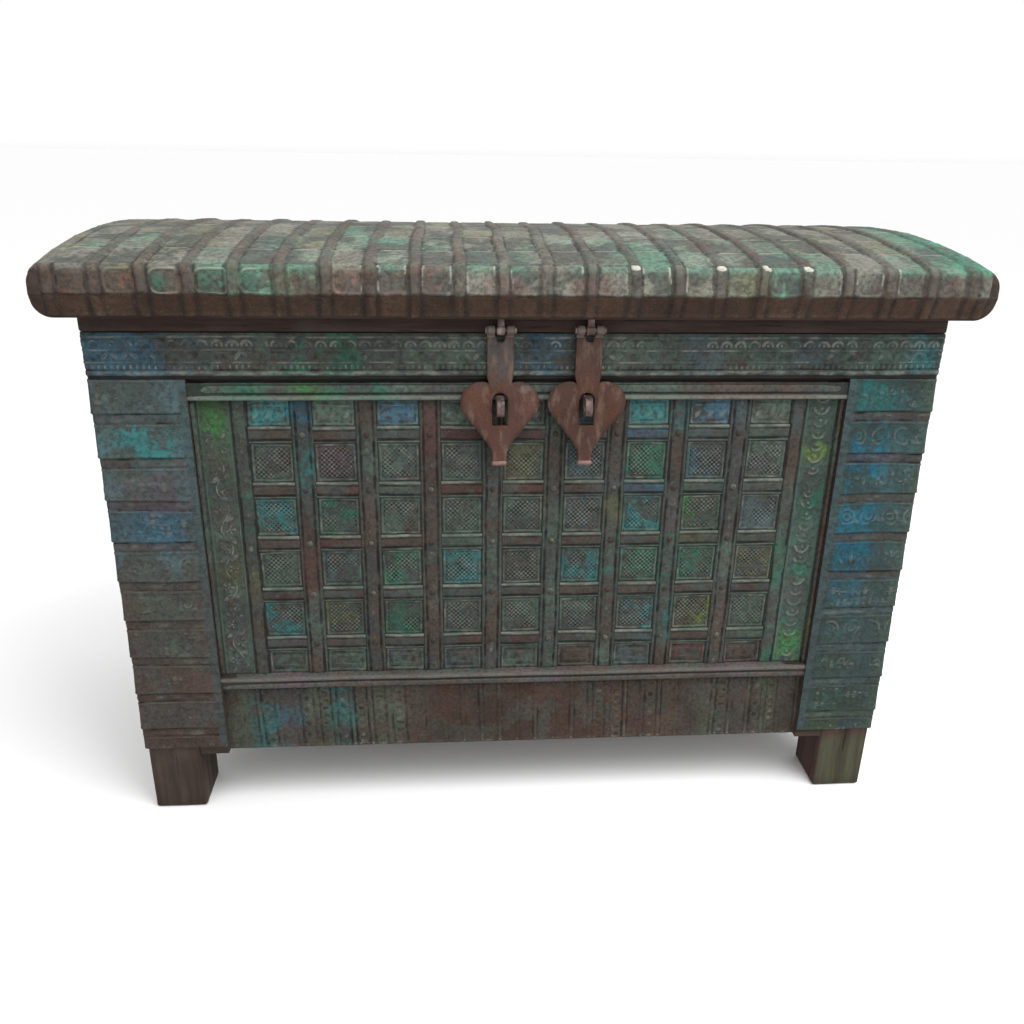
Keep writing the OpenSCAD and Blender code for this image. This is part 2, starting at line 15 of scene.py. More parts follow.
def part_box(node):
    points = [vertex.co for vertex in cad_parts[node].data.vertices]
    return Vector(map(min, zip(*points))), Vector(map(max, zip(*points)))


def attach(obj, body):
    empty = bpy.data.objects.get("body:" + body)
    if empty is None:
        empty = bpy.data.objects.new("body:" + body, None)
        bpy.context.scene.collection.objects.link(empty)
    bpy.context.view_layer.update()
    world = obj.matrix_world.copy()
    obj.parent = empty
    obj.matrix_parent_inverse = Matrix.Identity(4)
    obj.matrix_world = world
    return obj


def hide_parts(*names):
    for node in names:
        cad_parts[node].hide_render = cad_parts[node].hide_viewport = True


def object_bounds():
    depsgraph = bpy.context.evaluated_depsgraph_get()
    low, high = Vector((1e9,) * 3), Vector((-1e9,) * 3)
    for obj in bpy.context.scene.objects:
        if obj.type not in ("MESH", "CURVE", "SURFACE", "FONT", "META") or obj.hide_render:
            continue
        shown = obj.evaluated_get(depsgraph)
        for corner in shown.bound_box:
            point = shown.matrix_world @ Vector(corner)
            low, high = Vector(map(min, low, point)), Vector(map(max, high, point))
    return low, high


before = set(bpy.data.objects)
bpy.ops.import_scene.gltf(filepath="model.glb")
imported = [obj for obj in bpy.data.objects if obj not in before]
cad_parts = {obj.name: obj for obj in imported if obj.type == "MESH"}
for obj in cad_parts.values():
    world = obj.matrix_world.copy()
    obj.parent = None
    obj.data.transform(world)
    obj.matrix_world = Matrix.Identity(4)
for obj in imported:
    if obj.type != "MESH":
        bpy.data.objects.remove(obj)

bl_info = {
    "name": "Dowry Chest",
    "version": (1, 0, 0),
    "blender": (4, 5, 0),
    "location": "View3D > Sidebar > Chest",
    "description": "Worn timber, embossed and painted cladding, and rusty ironwork of a dowry chest",
    "category": "Object",
}

CAD_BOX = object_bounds()
MM = 0.001
LEFT, RIGHT = -1, 1


def mm_box(node):
    """A CAD node's lowest and highest corners in millimetres."""
    low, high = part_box(node)
    return np.array(low) / MM, np.array(high) / MM


# Places on the chest, in millimetres, from the CAD frame
FRONT_Y = mm_box("top_band_skin")[0][1]
PANEL_Y = mm_box("panel_sheet")[0][1]
BODY_HALF = mm_box("top_band_skin")[1][0]
RIB_LOW, RIB_HIGH = mm_box("panel_ribs")
LID_LOW, LID_HIGH = mm_box("lid_sheet")


# ---- Settings ----


def paint_colour(name, description, default):
    """A colour property, as the eye sees it under white light."""
    return FloatVectorProperty(name=name, description=description, default=default,
                               subtype="COLOR_GAMMA", size=3, min=0, max=1)


def length(name, description, default):
    """A length property in metres."""
    return FloatProperty(name=name, description=description, default=default,
                         unit="LENGTH", min=0)


class ChestPaints(bpy.types.PropertyGroup):
    """The paints that are left on the cladding"""
    grey_green: paint_colour("Grey green", "Faded green of most plates", (0.30, 0.36, 0.32))
    deep_green: paint_colour("Deep green", "Sea green in sheltered plates", (0.20, 0.38, 0.31))
    leaf_green: paint_colour("Leaf green", "Fresh green of the leafy borders", (0.24, 0.42, 0.25))
    lime: paint_colour("Lime", "Yellow green touches", (0.42, 0.52, 0.22))
    turquoise: paint_colour("Turquoise", "Bright turquoise", (0.20, 0.41, 0.41))
    cerulean: paint_colour("Cerulean", "Bright blue of the right post", (0.12, 0.41, 0.50))
    steel_blue: paint_colour("Steel blue", "Faded blue", (0.23, 0.36, 0.42))
    ash: paint_colour("Ash", "Blue grey", (0.29, 0.35, 0.36))
    maroon: paint_colour("Maroon", "Old red paint", (0.32, 0.215, 0.20))
    umber: paint_colour("Umber", "Bare brown metal", (0.3, 0.26, 0.235))
    plum: paint_colour("Plum", "Purple grey", (0.32, 0.28, 0.30))
    olive: paint_colour("Olive", "Dull yellow green", (0.32, 0.33, 0.25))
    charcoal: paint_colour("Charcoal", "Dark grey metal", (0.26, 0.26, 0.245))
    earth: paint_colour("Earth", "Dark brown timber", (0.26, 0.21, 0.18))
    rim_red: paint_colour("Rim red", "Dark red brown of the rim", (0.29, 0.22, 0.205))
    dust: paint_colour("Dust", "Grey dust on the lid", (0.44, 0.44, 0.40))
    lid_green: paint_colour("Lid green", "Chalky green on the lid", (0.33, 0.47, 0.40))
    verdigris: paint_colour("Verdigris", "Bright green corrosion", (0.22, 0.52, 0.42))
    lid_rose: paint_colour("Lid rose", "Pinkish brown on the lid", (0.40, 0.34, 0.31))
    lid_khaki: paint_colour("Lid khaki", "Yellowish grey on the lid", (0.41, 0.42, 0.34))
    # Worn bright edges, and also the painted highlights on ridges and on the lid's facet
    pale: paint_colour("Pale", "Worn bright edges", (0.62, 0.62, 0.58))
    drab: paint_colour("Drab", "Grey green film under the brighter paints", (0.27, 0.29, 0.275))
    # Dirt in the cladding's recesses, and the painted shade there
    grime_and_shade: paint_colour("Grime", "Dirt in the recesses", (0.07, 0.065, 0.06))


class ChestSizes(bpy.types.PropertyGroup):
    """Sizes of the embossed work"""
    rib_width: length("Rib width", "Width of the panel's upright strips", 0.029)
    rib_pitch: length("Rib pitch", "Pitch of the panel's upright strips", 0.0832)
    band_height: length("Band height", "Height of the panel's level strips", 0.024)
    band_pitch: length("Band pitch", "Pitch of the panel's level strips", 0.0775)
    band_start: length("First band", "Height of the first level strip over the moulding", 0.036)
    border_width: length("Border width", "Width of the leafy borders", 0.043)
    lattice_pitch: length("Lattice pitch", "Pitch of the diamonds in a square", 0.0063)
    plate_pitch: length("Plate pitch", "Pitch of the plates on the corner posts", 0.059)
    strap_height: length("Strap height", "Height of the straps between those plates", 0.014)
    apron_pitch: length("Apron pitch", "Pitch of the apron's upright strips", 0.0270)
    lid_rib_pitch: length("Lid rib pitch", "Pitch of the ribs over the lid", 0.053)
    lid_rib_shift: length("Lid rib shift", "Offset of the ribs from the lid's middle", 0.020)
    lid_rib_width: length("Lid rib width", "Width of a lid rib", 0.014)
    lid_rib_height: length("Lid rib height", "Height of a lid rib", 0.003)
    lid_roll: length("Lid roll", "Radius of the lid's rolled ends", 0.022)
    lid_tuck: length("Lid tuck", "How far the lid's front tucks in below", 0.012)
    lid_rise: length("Lid rise", "Rise of the lid's crown over its edge", 0.029)
    lid_knee: length("Lid knee", "Height of the knee in the lid's front", 0.029)
    columns: IntProperty(name="Columns", description="Columns of squares", default=9, min=1)
    rows: IntProperty(name="Bands", description="Level strips", default=5, min=1)


class ChestStage(bpy.types.PropertyGroup):
    """Camera and lamps"""
    lens: FloatProperty(name="Lens", description="Focal length in millimetres", default=32.16)
    eye: FloatVectorProperty(name="Eye", description="Place of the camera", subtype="XYZ",
                             unit="LENGTH", default=(-0.1033, -1.3910, 0.9356))
    down: FloatProperty(name="Down", description="Tilt below the horizon", subtype="ANGLE",
                        default=math.radians(21.68))
    turn: FloatProperty(name="Turn", description="Turn to the right", subtype="ANGLE",
                        default=math.radians(4.36))
    roll: FloatProperty(name="Roll", description="Roll about the view", subtype="ANGLE",
                        default=math.radians(0.96))
    sky: FloatProperty(name="Sky", description="Strength of the light from above", default=1.0)
    ground: FloatProperty(name="Ground", description="Strength of the light from below",
                          default=0.22)
    key: FloatProperty(name="Key", description="Power of the large lamp", unit="POWER",
                       default=70)
    fill: FloatProperty(name="Fill", description="Power of the front lamp", unit="POWER",
                        default=10)


def sizes():
    """The size settings."""
    return bpy.context.scene.chest_sizes


def size_mm(name):
    """One size in millimetres."""
    return getattr(sizes(), name) / MM


def to_linear(rgb):
    """A colour as seen, as the light it gives back."""
    rgb = np.asarray(rgb, float)
    return np.where(rgb <= 0.04045, rgb / 12.92, ((rgb + 0.055) / 1.055) ** 2.4)


def tone(name):
    """A named paint as linear colour."""
    return to_linear(getattr(bpy.context.scene.chest_paints, name))


# Ribs over the lid, counted from the middle one to each end
RIBS_EACH_SIDE = 10

# Each letter of a paint plan stands for a paint
LETTERS = {
    "g": "grey_green", "e": "deep_green", "l": "leaf_green", "y": "lime", "t": "turquoise",
    "c": "cerulean", "s": "steel_blue", "a": "ash", "m": "maroon", "u": "umber", "p": "plum",
    "o": "olive", "k": "charcoal", "d": "dust", "h": "lid_green", "v": "verdigris",
    "r": "lid_rose", "i": "lid_khaki", "b": "earth",
}

# Squares and part squares of the panel, from the top row down, left to right
SQUARE_PLAN = ("tgsggatsg", "gpggoaesg", "tegggatla", "gaetgteeo", "toegggtyg", "gggaguamu")
# Upright strips, left to right, each from the top row down
RIB_PLAN = ("ggeoug", "ctumgu", "uguuuu", "mmuuuu", "uuuguu", "gugggg", "uuoeug", "tupetu",
            "auuguu", "augege")
# Level strips from the top row down, left to right
BAND_PLAN = ("uugmmusag", "umgmmuseg", "umuguuuog", "mugguuuuu", "puummuaug")
# Plates and straps of the posts, from the top down
PLATE_PLAN = {LEFT: "atpsagguub", RIGHT: "tccccsaggo"}
STRAP_PLAN = {LEFT: "auppuuubbb", RIGHT: "upuuuaaagu"}
# The top band and the top moulding, left to right
TOP_BAND_PLAN = "ssaggeegggasgggaggaggt"
TOP_MOULDING_PLAN = "geeleeggggggggguuuug"
APRON_PLAN = "gtsgtggubbbbbbbubukgkgk"
# The borders from the top down
BORDER_PLAN = {LEFT: "llleeoggogaggg", RIGHT: "elygeeggegeell"}
# The lid: its lower slope, the facet over it, and the plates behind that, left to right
SLOPE_PLAN = "bubbbbubbbbbbbbbbbubbbbb"
FACET_PLAN = "brrrhhhrrrdrdrdidihdddrd"
CROWN_PLANS = ("ddidhhhdhrhhdhhhhhhhdhhv", "ihhidhihhhdihhhhihhidihv", "dididdihidiididdhdididhv",
               "ddidididdiiddiddidiiddid", "idididdiididdididdidiidd")
LID_RIB_PLAN = "ruurubrurdruurbrurruurb"


# ---- Uneven hand work: repeatable noise ----


def cell_noise(column, row, seed):
    """A repeatable number from 0 to 1 for each cell of a grid."""
    mixed = (np.asarray(column).astype(np.int64) * 374761393
             + np.asarray(row).astype(np.int64) * 668265263 + seed * 362437)
    mixed = (mixed ^ (mixed >> 13)) * 1274126177 & 0x7FFFFFFF
    return ((mixed ^ (mixed >> 16)) & 0xFFFF) / 65535


def soft_noise(u, v, size, seed):
    """Smooth noise from 0 to 1 with lumps about size across."""
    u, v = u / size, v / size
    column, row = np.floor(u), np.floor(v)
    fu, fv = u - column, v - row
    fu, fv = fu * fu * (3 - 2 * fu), fv * fv * (3 - 2 * fv)
    low = cell_noise(column, row, seed) * (1 - fu) + cell_noise(column + 1, row, seed) * fu
    high = (cell_noise(column, row + 1, seed) * (1 - fu)
            + cell_noise(column + 1, row + 1, seed) * fu)
    return low * (1 - fv) + high * fv


def rough_noise(u, v, size, seed):
    """Three octaves of smooth noise, from 0 to 1."""
    return (soft_noise(u, v, size, seed) * 4 + soft_noise(u, v, size / 2.1, seed + 7) * 2
            + soft_noise(u, v, size / 4.3, seed + 13)) / 7


def sway_at(u, v, size, seed):
    """A slow drift from -0.5 to 0.5."""
    return soft_noise(u, v, size, seed) - 0.5


def dents_at(u, v, size, seed):
    """Dents and bumps from -0.5 to 0.5."""
    return rough_noise(u, v, size, seed) - 0.5


def chased(u, v, size, seed):
    """Hand-beaten unevenness from -1 to 1."""
    return np.clip(3.2 * dents_at(u, v, size, seed), -1, 1)


# ---- Profiles that the patterns are made of ----


def step(low, high, value):
    """0 below low, 1 above high, and smooth between."""
    t = np.clip((value - low) / (high - low), 0, 1)
    return t * t * (3 - 2 * t)


def bead(offset, half_width):
    """A round bead: 1 at offset 0, and 0 past its half width."""
    return np.sqrt(np.clip(1 - (offset / half_width) ** 2, 0, 1))


def dome(offset_u, offset_v, half_u, half_v):
    """A round or oval boss."""
    return np.sqrt(np.clip(1 - (offset_u / half_u) ** 2 - (offset_v / half_v) ** 2, 0, 1))


def ring(offset_u, offset_v, radius, half_width):
    """A raised ring."""
    return bead(np.hypot(offset_u, offset_v) - radius, half_width)


def repeat(value, pitch):
    """Distance from the middle of the nearest repeat."""
    return value - pitch * np.round(value / pitch)


def leaf(u, v, long, wide, lean):
    """A pointed leaf with a vein, leaning by an angle."""
    along = u * math.cos(lean) + v * math.sin(lean)
    across = -u * math.sin(lean) + v * math.cos(lean)
    half = wide * np.clip(1 - (along / long) ** 2, 0, 1)
    blade = np.clip(1 - (across / np.maximum(half, 0.01)) ** 2, 0, 1) * (half > 0.05)
    return blade - 0.45 * bead(across, 0.7) * (blade > 0.1)


def rosette(u, v, radius, petals):
    """A flower: a boss, a ring of petals and a rim."""
    far = np.hypot(u, v)
    around = np.arctan2(v, u)
    petal = (0.5 + 0.5 * np.cos(petals * around)) * bead(far - 0.6 * radius, 0.38 * radius)
    return np.maximum(np.maximum(dome(u, v, 0.24 * radius, 0.24 * radius), petal),
                      0.7 * ring(u, v, radius, 1.1))


# ---- Meshes from grids of points ----


def smooth_normals(grid):
    """Unit normals of a grid of points, facing out where columns then rows turn right-handed."""
    along_rows = np.gradient(grid, axis=0)
    along_columns = np.gradient(grid, axis=1)
    normal = np.cross(along_columns, along_rows)
    return normal / np.maximum(np.linalg.norm(normal, axis=2, keepdims=True), 1e-9)


def edge_of(block):
    """The values round a grid's edge, in order."""
    return np.concatenate([block[0, :-1], block[:-1, -1], block[-1, :0:-1], block[:0:-1, 0]])


class Mould:
    """Collects points and faces, with their paint and relief, until a piece is made."""

    def __init__(self):
        self.points, self.paint, self.relief = [], [], []
        self.quads, self.tris = [], []
        self.count = 0

    def add(self, points, paint, relief):
        """Adds points and returns their numbers in the same arrangement."""
        shape = points.shape[:-1]
        total = int(np.prod(shape))
        self.points.append(points.reshape(total, 3))
        self.paint.append(np.broadcast_to(paint, shape + (3,)).reshape(total, 3))
        self.relief.append(np.broadcast_to(relief, shape).reshape(total))
        numbers = self.count + np.arange(total).reshape(shape)
        self.count += total
        return numbers

    def add_quads(self, a, b, c, d):
        """Adds one face for each place in four equal arrays of corners."""
        self.quads.append(np.stack([a.ravel(), b.ravel(), c.ravel(), d.ravel()], axis=1))

    def strip(self, first, second):
        """Joins two equal closed loops with faces."""
        self.add_quads(first, second, np.roll(second, -1), np.roll(first, -1))

    def fan(self, loop, centre):
        """Closes a loop to one point."""
        hub = self.add(np.asarray(centre, float).reshape(1, 3), 0.05, 0.2)
        self.tris.append(np.stack([np.roll(loop, -1), loop, np.full(len(loop), hub[0])], axis=1))

    def barrel(self, loops, paint, relief, ends, turned=False):
        """A solid from a stack of loops, closed to a point at each end.
        turned says that the loops run the other way round."""
        numbers = [n[::-1] if turned else n for n in self.add(loops, paint, relief)]
        for first, second in zip(numbers, numbers[1:]):
            self.strip(second, first)
        self.fan(numbers[0], ends[0])
        self.fan(numbers[-1][::-1], ends[1])

    def sheet(self, grid, height, paint, relief, back, hub=None):
        """A closed sheet: the face is the grid raised by height along its normals.
        Its back is a fan to the hub, or without one a second skin."""
        normal = smooth_normals(grid)
        face = self.add(grid + normal * height[..., None], paint, relief)
        self.add_quads(face[:-1, :-1], face[:-1, 1:], face[1:, 1:], face[1:, :-1])
        behind = grid - normal * back
        dark = np.asarray(paint) * 0.5
        if hub is None:
            under = self.add(behind, dark, 0.3)
            self.add_quads(under[:-1, :-1], under[1:, :-1], under[1:, 1:], under[:-1, 1:])
            self.strip(edge_of(face), edge_of(under))
            return
        skirt = self.add(edge_of(behind), edge_of(np.broadcast_to(dark, grid.shape)), 0.3)
        self.strip(edge_of(face), skirt)
        self.fan(skirt, hub)

    def piece(self, name, body, material, replaces=()):
        """Makes the object, paints it and hands it to the frame."""
        points = np.clip(np.concatenate(self.points) * MM, *CAD_BOX)
        quads = np.concatenate(self.quads) if self.quads else np.zeros((0, 4), int)
        tris = np.concatenate(self.tris) if self.tris else np.zeros((0, 3), int)
        mesh = bpy.data.meshes.new(name)
        mesh.vertices.add(len(points))
        mesh.vertices.foreach_set("co", points.astype(np.float32).ravel())
        corners = np.concatenate([quads.ravel(), tris.ravel()])
        mesh.loops.add(len(corners))
        mesh.loops.foreach_set("vertex_index", corners.astype(np.int32))
        mesh.polygons.add(len(quads) + len(tris))
        starts = np.concatenate([np.arange(len(quads)) * 4,
                                 len(quads) * 4 + np.arange(len(tris)) * 3])
        mesh.polygons.foreach_set("loop_start", starts.astype(np.int32))
        mesh.update(calc_edges=True)
        mesh.validate()
        paint = mesh.attributes.new("paint", "FLOAT_COLOR", "POINT")
        rgba = np.ones((len(points), 4), np.float32)
        rgba[:, :3] = np.clip(np.concatenate(self.paint), 0, 1)
        paint.data.foreach_set("color", rgba.ravel())
        relief = mesh.attributes.new("relief", "FLOAT", "POINT")
        relief.data.foreach_set("value", np.concatenate(self.relief).astype(np.float32))
        mesh.shade_smooth()
        mesh.set_sharp_from_angle(angle=math.radians(55))
        mesh.materials.append(material)
        obj = bpy.data.objects.new(name, mesh)
        bpy.context.collection.objects.link(obj)
        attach(obj, body)
        if replaces:
            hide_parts(*replaces)
        return obj


def steps_between(start, end, spacing):
    """Evenly spaced values from start to end, no further apart than spacing."""
    return np.linspace(start, end, max(2, int(math.ceil(abs(end - start) / spacing)) + 1))


def filleted(corners, radius, spacing):
    """A flat path through corners whose inner corners are rounded."""
    corners = [np.array(c, float) for c in corners]
    points = [corners[0]]
    for before, corner, after in zip(corners, corners[1:], corners[2:]):
        start = corner + (before - corner) / np.linalg.norm(before - corner) * radius
        end = corner + (after - corner) / np.linalg.norm(after - corner) * radius
        for t in np.linspace(0, 1, 5):
            points.append(start * (1 - t) ** 2 + 2 * corner * t * (1 - t) + end * t ** 2)
    points.append(corners[-1])
    path = [points[0]]
    for a, b in zip(points, points[1:]):
        for t in steps_between(0, 1, spacing / max(np.linalg.norm(b - a), 1e-6))[1:]:
            path.append(a + (b - a) * t)
    path = np.array(path)
    travelled = np.concatenate([[0], np.cumsum(np.linalg.norm(np.diff(path, axis=0), axis=1))])
    return path, travelled


def upright_grid(path, heights):
    """Points of a level path, repeated at each height."""
    grid = np.zeros((len(heights), len(path), 3))
    grid[..., :2] = path
    grid[..., 2] = heights[:, None]
    return grid


def facing_grid(x_values, z_values, y):
    """A flat grid that faces the front."""
    path = np.stack([x_values, np.full(len(x_values), y)], axis=1)
    return upright_grid(path, z_values)


# ---- Painting ----


def plan_paint(plan, place, blend=0.35):
    """Looks up a plan's paint at each place, a number of cells from its start.
    Neighbours run into each other over a share of a cell."""
    palette = np.array([tone(LETTERS[letter]) for letter in plan])
    shifted = np.clip(place - 0.5, 0, len(plan) - 1.001)
    cell = np.floor(shifted).astype(int)
    share = step(0.5 - blend, 0.5 + blend, shifted - cell)
    return mixed(palette[cell], palette[cell + 1], share)


def weathered(paint, u, v, seed, bare="umber", loss=0.5, size=26, under="drab", cover=0.55):
    """Paint in patches over a drab film, with flakes lost down to bare metal."""
    patches = rough_noise(u, v, size * 1.4, seed + 11) + 0.25 * sway_at(u, v, 5, seed + 15)
    shown = step(0.70 - cover * 0.5, 0.80 - cover * 0.5, patches)
    paint = mixed(tone(under), paint, 0.12 + 0.80 * shown)
    flakes = step(0.54, 0.68, rough_noise(u, v, size, seed)) * loss
    fine = step(0.56, 0.70, rough_noise(u, v, size / 4, seed + 3)) * loss * 0.8
    paint = mixed(paint, tone(bare), np.maximum(flakes, fine))
    shade = 0.70 + 0.60 * rough_noise(u, v, size * 2.2, seed + 5)
    return paint * shade[..., None]


def mixed(first, second, amount):
    """Blends two paints by an amount from 0 to 1."""
    amount = np.asarray(amount)[..., None]
    return first * (1 - amount) + second * amount


def relief_value(height, depth=1.0):
    """Height as a share of the pattern's depth: 0 in the grooves, 1 on the ridges."""
    return np.clip(0.5 + 0.5 * height / depth, 0, 1)


# ---- Materials ----


class Nodes:
    """A short way to write a material's nodes."""

    def __init__(self, name):
        self.material = bpy.data.materials.new(name)
        self.material.use_nodes = True
        self.tree = self.material.node_tree
        self.shader = self.tree.nodes["Principled BSDF"]

    def node(self, kind, **values):
        """Adds a node and sets its properties."""
        made = self.tree.nodes.new(kind)
        for key, value in values.items():
            setattr(made, key, value)
        return made

    def link(self, output, target):
        """Joins two sockets."""
        self.tree.links.new(output, target)

    def noise(self, scale, detail=4, rough=0.6, stretch=(1, 1, 1)):
        """Noise in the piece's own space, in lumps per metre."""
        place = self.node("ShaderNodeTexCoord")
        mapping = self.node("ShaderNodeMapping")
        mapping.inputs["Scale"].default_value = stretch
        self.link(place.outputs["Object"], mapping.inputs["Vector"])
        made = self.node("ShaderNodeTexNoise")
        made.inputs["Scale"].default_value = scale
        made.inputs["Detail"].default_value = detail
        made.inputs["Roughness"].default_value = rough
        self.link(mapping.outputs["Vector"], made.inputs["Vector"])
        return made.outputs["Fac"]

    def remap(self, value, low, high, to_low=0, to_high=1):
        """Smoothly maps a value from one range to another."""
        made = self.node("ShaderNodeMapRange", interpolation_type="SMOOTHSTEP")
        for key, number in zip(("From Min", "From Max", "To Min", "To Max"),
                               (low, high, to_low, to_high)):
            made.inputs[key].default_value = number
        self.link(value, made.inputs["Value"])
        return made.outputs["Result"]

    def times(self, a, b):
        """Multiplies two values."""
        made = self.node("ShaderNodeMath", operation="MULTIPLY")
        self.link(a, made.inputs[0])
        if isinstance(b, (int, float)):
            made.inputs[1].default_value = b
        else:
            self.link(b, made.inputs[1])
        return made.outputs[0]

    def mix(self, amount, first, second, blend="MIX"):
        """Mixes two colours, each a socket or red, green and blue."""
        made = self.node("ShaderNodeMix", data_type="RGBA", blend_type=blend)
        self.link(amount, made.inputs[0])
        for value, socket in ((first, made.inputs[6]), (second, made.inputs[7])):
            if isinstance(value, bpy.types.NodeSocket):
                self.link(value, socket)
            else:
                socket.default_value = (*value, 1)
        return made.outputs[2]

    def attribute(self, name, output):
        """Reads what the mesh carries."""
        made = self.node("ShaderNodeAttribute")
        made.attribute_name = name
        return made.outputs[output]

    def bump(self, height, strength, distance):
        """Fine surface texture."""
        made = self.node("ShaderNodeBump")
        made.inputs["Strength"].default_value = strength
        made.inputs["Distance"].default_value = distance
        self.link(height, made.inputs["Height"])
        self.link(made.outputs["Normal"], self.shader.inputs["Normal"])

    def set(self, **values):
        """Sets the shader's own sockets."""
        for key, value in values.items():
            self.shader.inputs[key.replace("_", " ")].default_value = value


def cladding_material(name, grime_and_shade, wear, sheen_spot):
    """Painted metal: dirt and painted shade in the recesses, worn paint and painted highlights rubbed
    pale on the ridges, speckled all over.
    """
    n = Nodes(name)
    paint = n.attribute("paint", "Color")
    relief = n.attribute("relief", "Fac")
    speckle = n.noise(170, 5, 0.65)
    grit = n.noise(420, 4, 0.7)
    blotch = n.noise(38, 4, 0.6)
    colour = n.mix(n.remap(speckle, 0.42, 0.64, 0, 0.55), paint, (0.022, 0.020, 0.018))
    colour = n.mix(n.remap(grit, 0.55, 0.70, 0, 0.30), colour, tone("pale") * 0.6)
    colour = n.mix(n.remap(blotch, 0.52, 0.72, 0, 0.30), colour, tone("umber"))
    # Dirt and painted shade: darker where the relief is low
    hollow = n.times(n.remap(relief, 0.50, 0.10, 0, 1), grime_and_shade)
    colour = n.mix(hollow, colour, tone("grime_and_shade"))
    # Pale on high relief: worn paint and painted highlight
    rubbed = n.times(n.remap(relief, 0.68, 0.98, 0, 1), n.remap(speckle, 0.34, 0.60, 0.15, 1))
    colour = n.mix(n.times(rubbed, wear), colour, tone("pale"))
    n.link(colour, n.shader.inputs["Base Color"])
    spot = n.times(n.remap(relief, 0.80, 1.0, 0, 1), n.remap(speckle, 0.5, 0.62, 0, sheen_spot))
    roughness = n.node("ShaderNodeMath", operation="SUBTRACT")
    n.link(n.remap(blotch, 0.3, 0.7, 0.60, 0.84), roughness.inputs[0])
    n.link(spot, roughness.inputs[1])
    n.link(roughness.outputs[0], n.shader.inputs["Roughness"])
    n.bump(n.mix(n.remap(speckle, 0.3, 0.7), grit, (0.5, 0.5, 0.5)), 0.6, 0.0009)
    n.set(Specular_IOR_Level=0.22)
    return n.material


def timber_material(name, stretch, painted=True):
    """Old dry timber: grain along one axis, dark cracks and a little of its paint."""
    n = Nodes(name)
    base = n.attribute("paint", "Color") if painted else tone("earth")
    grain = n.noise(60, 6, 0.7, stretch)
    cracks = n.noise(150, 3, 0.6, stretch)
    blotch = n.noise(14, 4, 0.6)
    colour = n.mix(n.remap(grain, 0.35, 0.65, 0, 0.6), base, tone("earth") * 0.45)
    colour = n.mix(n.remap(blotch, 0.5, 0.75, 0, 0.45), colour, tone("umber") * 1.2)
    colour = n.mix(n.remap(cracks, 0.62, 0.70, 0, 0.85), colour, (0.012, 0.01, 0.008))
    n.link(colour, n.shader.inputs["Base Color"])
    n.link(n.remap(grain, 0.3, 0.7, 0.68, 0.92), n.shader.inputs["Roughness"])
    n.bump(n.mix(n.remap(cracks, 0.6, 0.7, 0, 1), grain, (0, 0, 0)), 0.6, 0.0012)
    n.set(Specular_IOR_Level=0.3)
    return n.material


def iron_material(name, rust, dark, bright, shine, painted=False):
    """Hand-forged iron: rust in patches, darker pits and rubbed edges."""
    n = Nodes(name)
    patches = n.noise(55, 5, 0.6)
    pits = n.noise(300, 4, 0.65)
    streaks = n.noise(120, 3, 0.5, (1, 1, 0.3))
    rust = n.attribute("paint", "Color") if painted else rust
    colour = n.mix(n.remap(patches, 0.38, 0.62, 0, 0.45 if painted else 1), rust, dark)
    colour = n.mix(n.remap(streaks, 0.5, 0.72, 0, 0.55), colour, bright)
    colour = n.mix(n.remap(pits, 0.55, 0.72, 0, 0.7), colour, (0.02, 0.014, 0.012))
    n.link(colour, n.shader.inputs["Base Color"])
    n.link(n.remap(pits, 0.3, 0.7, 0.78 - shine, 0.88 - shine), n.shader.inputs["Roughness"])
    n.bump(pits, 0.5, 0.0008)
    n.set(Metallic=0.25, Specular_IOR_Level=0.4)
    return n.material


MATERIALS = {}


def make_materials():
    """All finishes, by the name that the pieces ask for."""
    MATERIALS["panel"] = cladding_material("embossed_panel", 0.92, 0.44, 0.25)
    MATERIALS["post"] = cladding_material("embossed_post", 0.95, 0.22, 0.12)
    MATERIALS["lid"] = cladding_material("lid_cover", 0.75, 0.62, 0.32)
    MATERIALS["moulding"] = cladding_material("worn_moulding", 0.8, 0.5, 0.25)
    MATERIALS["timber_x"] = timber_material("timber_along_x", (0.07, 1, 1))
    MATERIALS["timber_y"] = timber_material("timber_along_y", (1, 0.07, 1))
    MATERIALS["timber_z"] = timber_material("timber_along_z", (1, 1, 0.07))
    MATERIALS["plain_x"] = timber_material("inner_timber_x", (0.07, 1, 1), painted=False)
    MATERIALS["plain_y"] = timber_material("inner_timber_y", (1, 0.07, 1), painted=False)
    rust, dark = to_linear((0.375, 0.25, 0.215)), to_linear((0.33, 0.24, 0.21))
    MATERIALS["hasp"] = iron_material("rusty_hasp", rust, dark, to_linear((0.50, 0.41, 0.36)),
                                      0.05, painted=True)
    MATERIALS["iron"] = iron_material("rusty_iron", rust * 0.7, dark * 0.6,
                                      to_linear((0.5, 0.42, 0.38)), 0.1)
    MATERIALS["rubbed_iron"] = iron_material("rubbed_iron", to_linear((0.44, 0.37, 0.35)),
                                             to_linear((0.28, 0.22, 0.20)),
                                             to_linear((0.70, 0.64, 0.61)), 0.3)


# ---- Timber ----


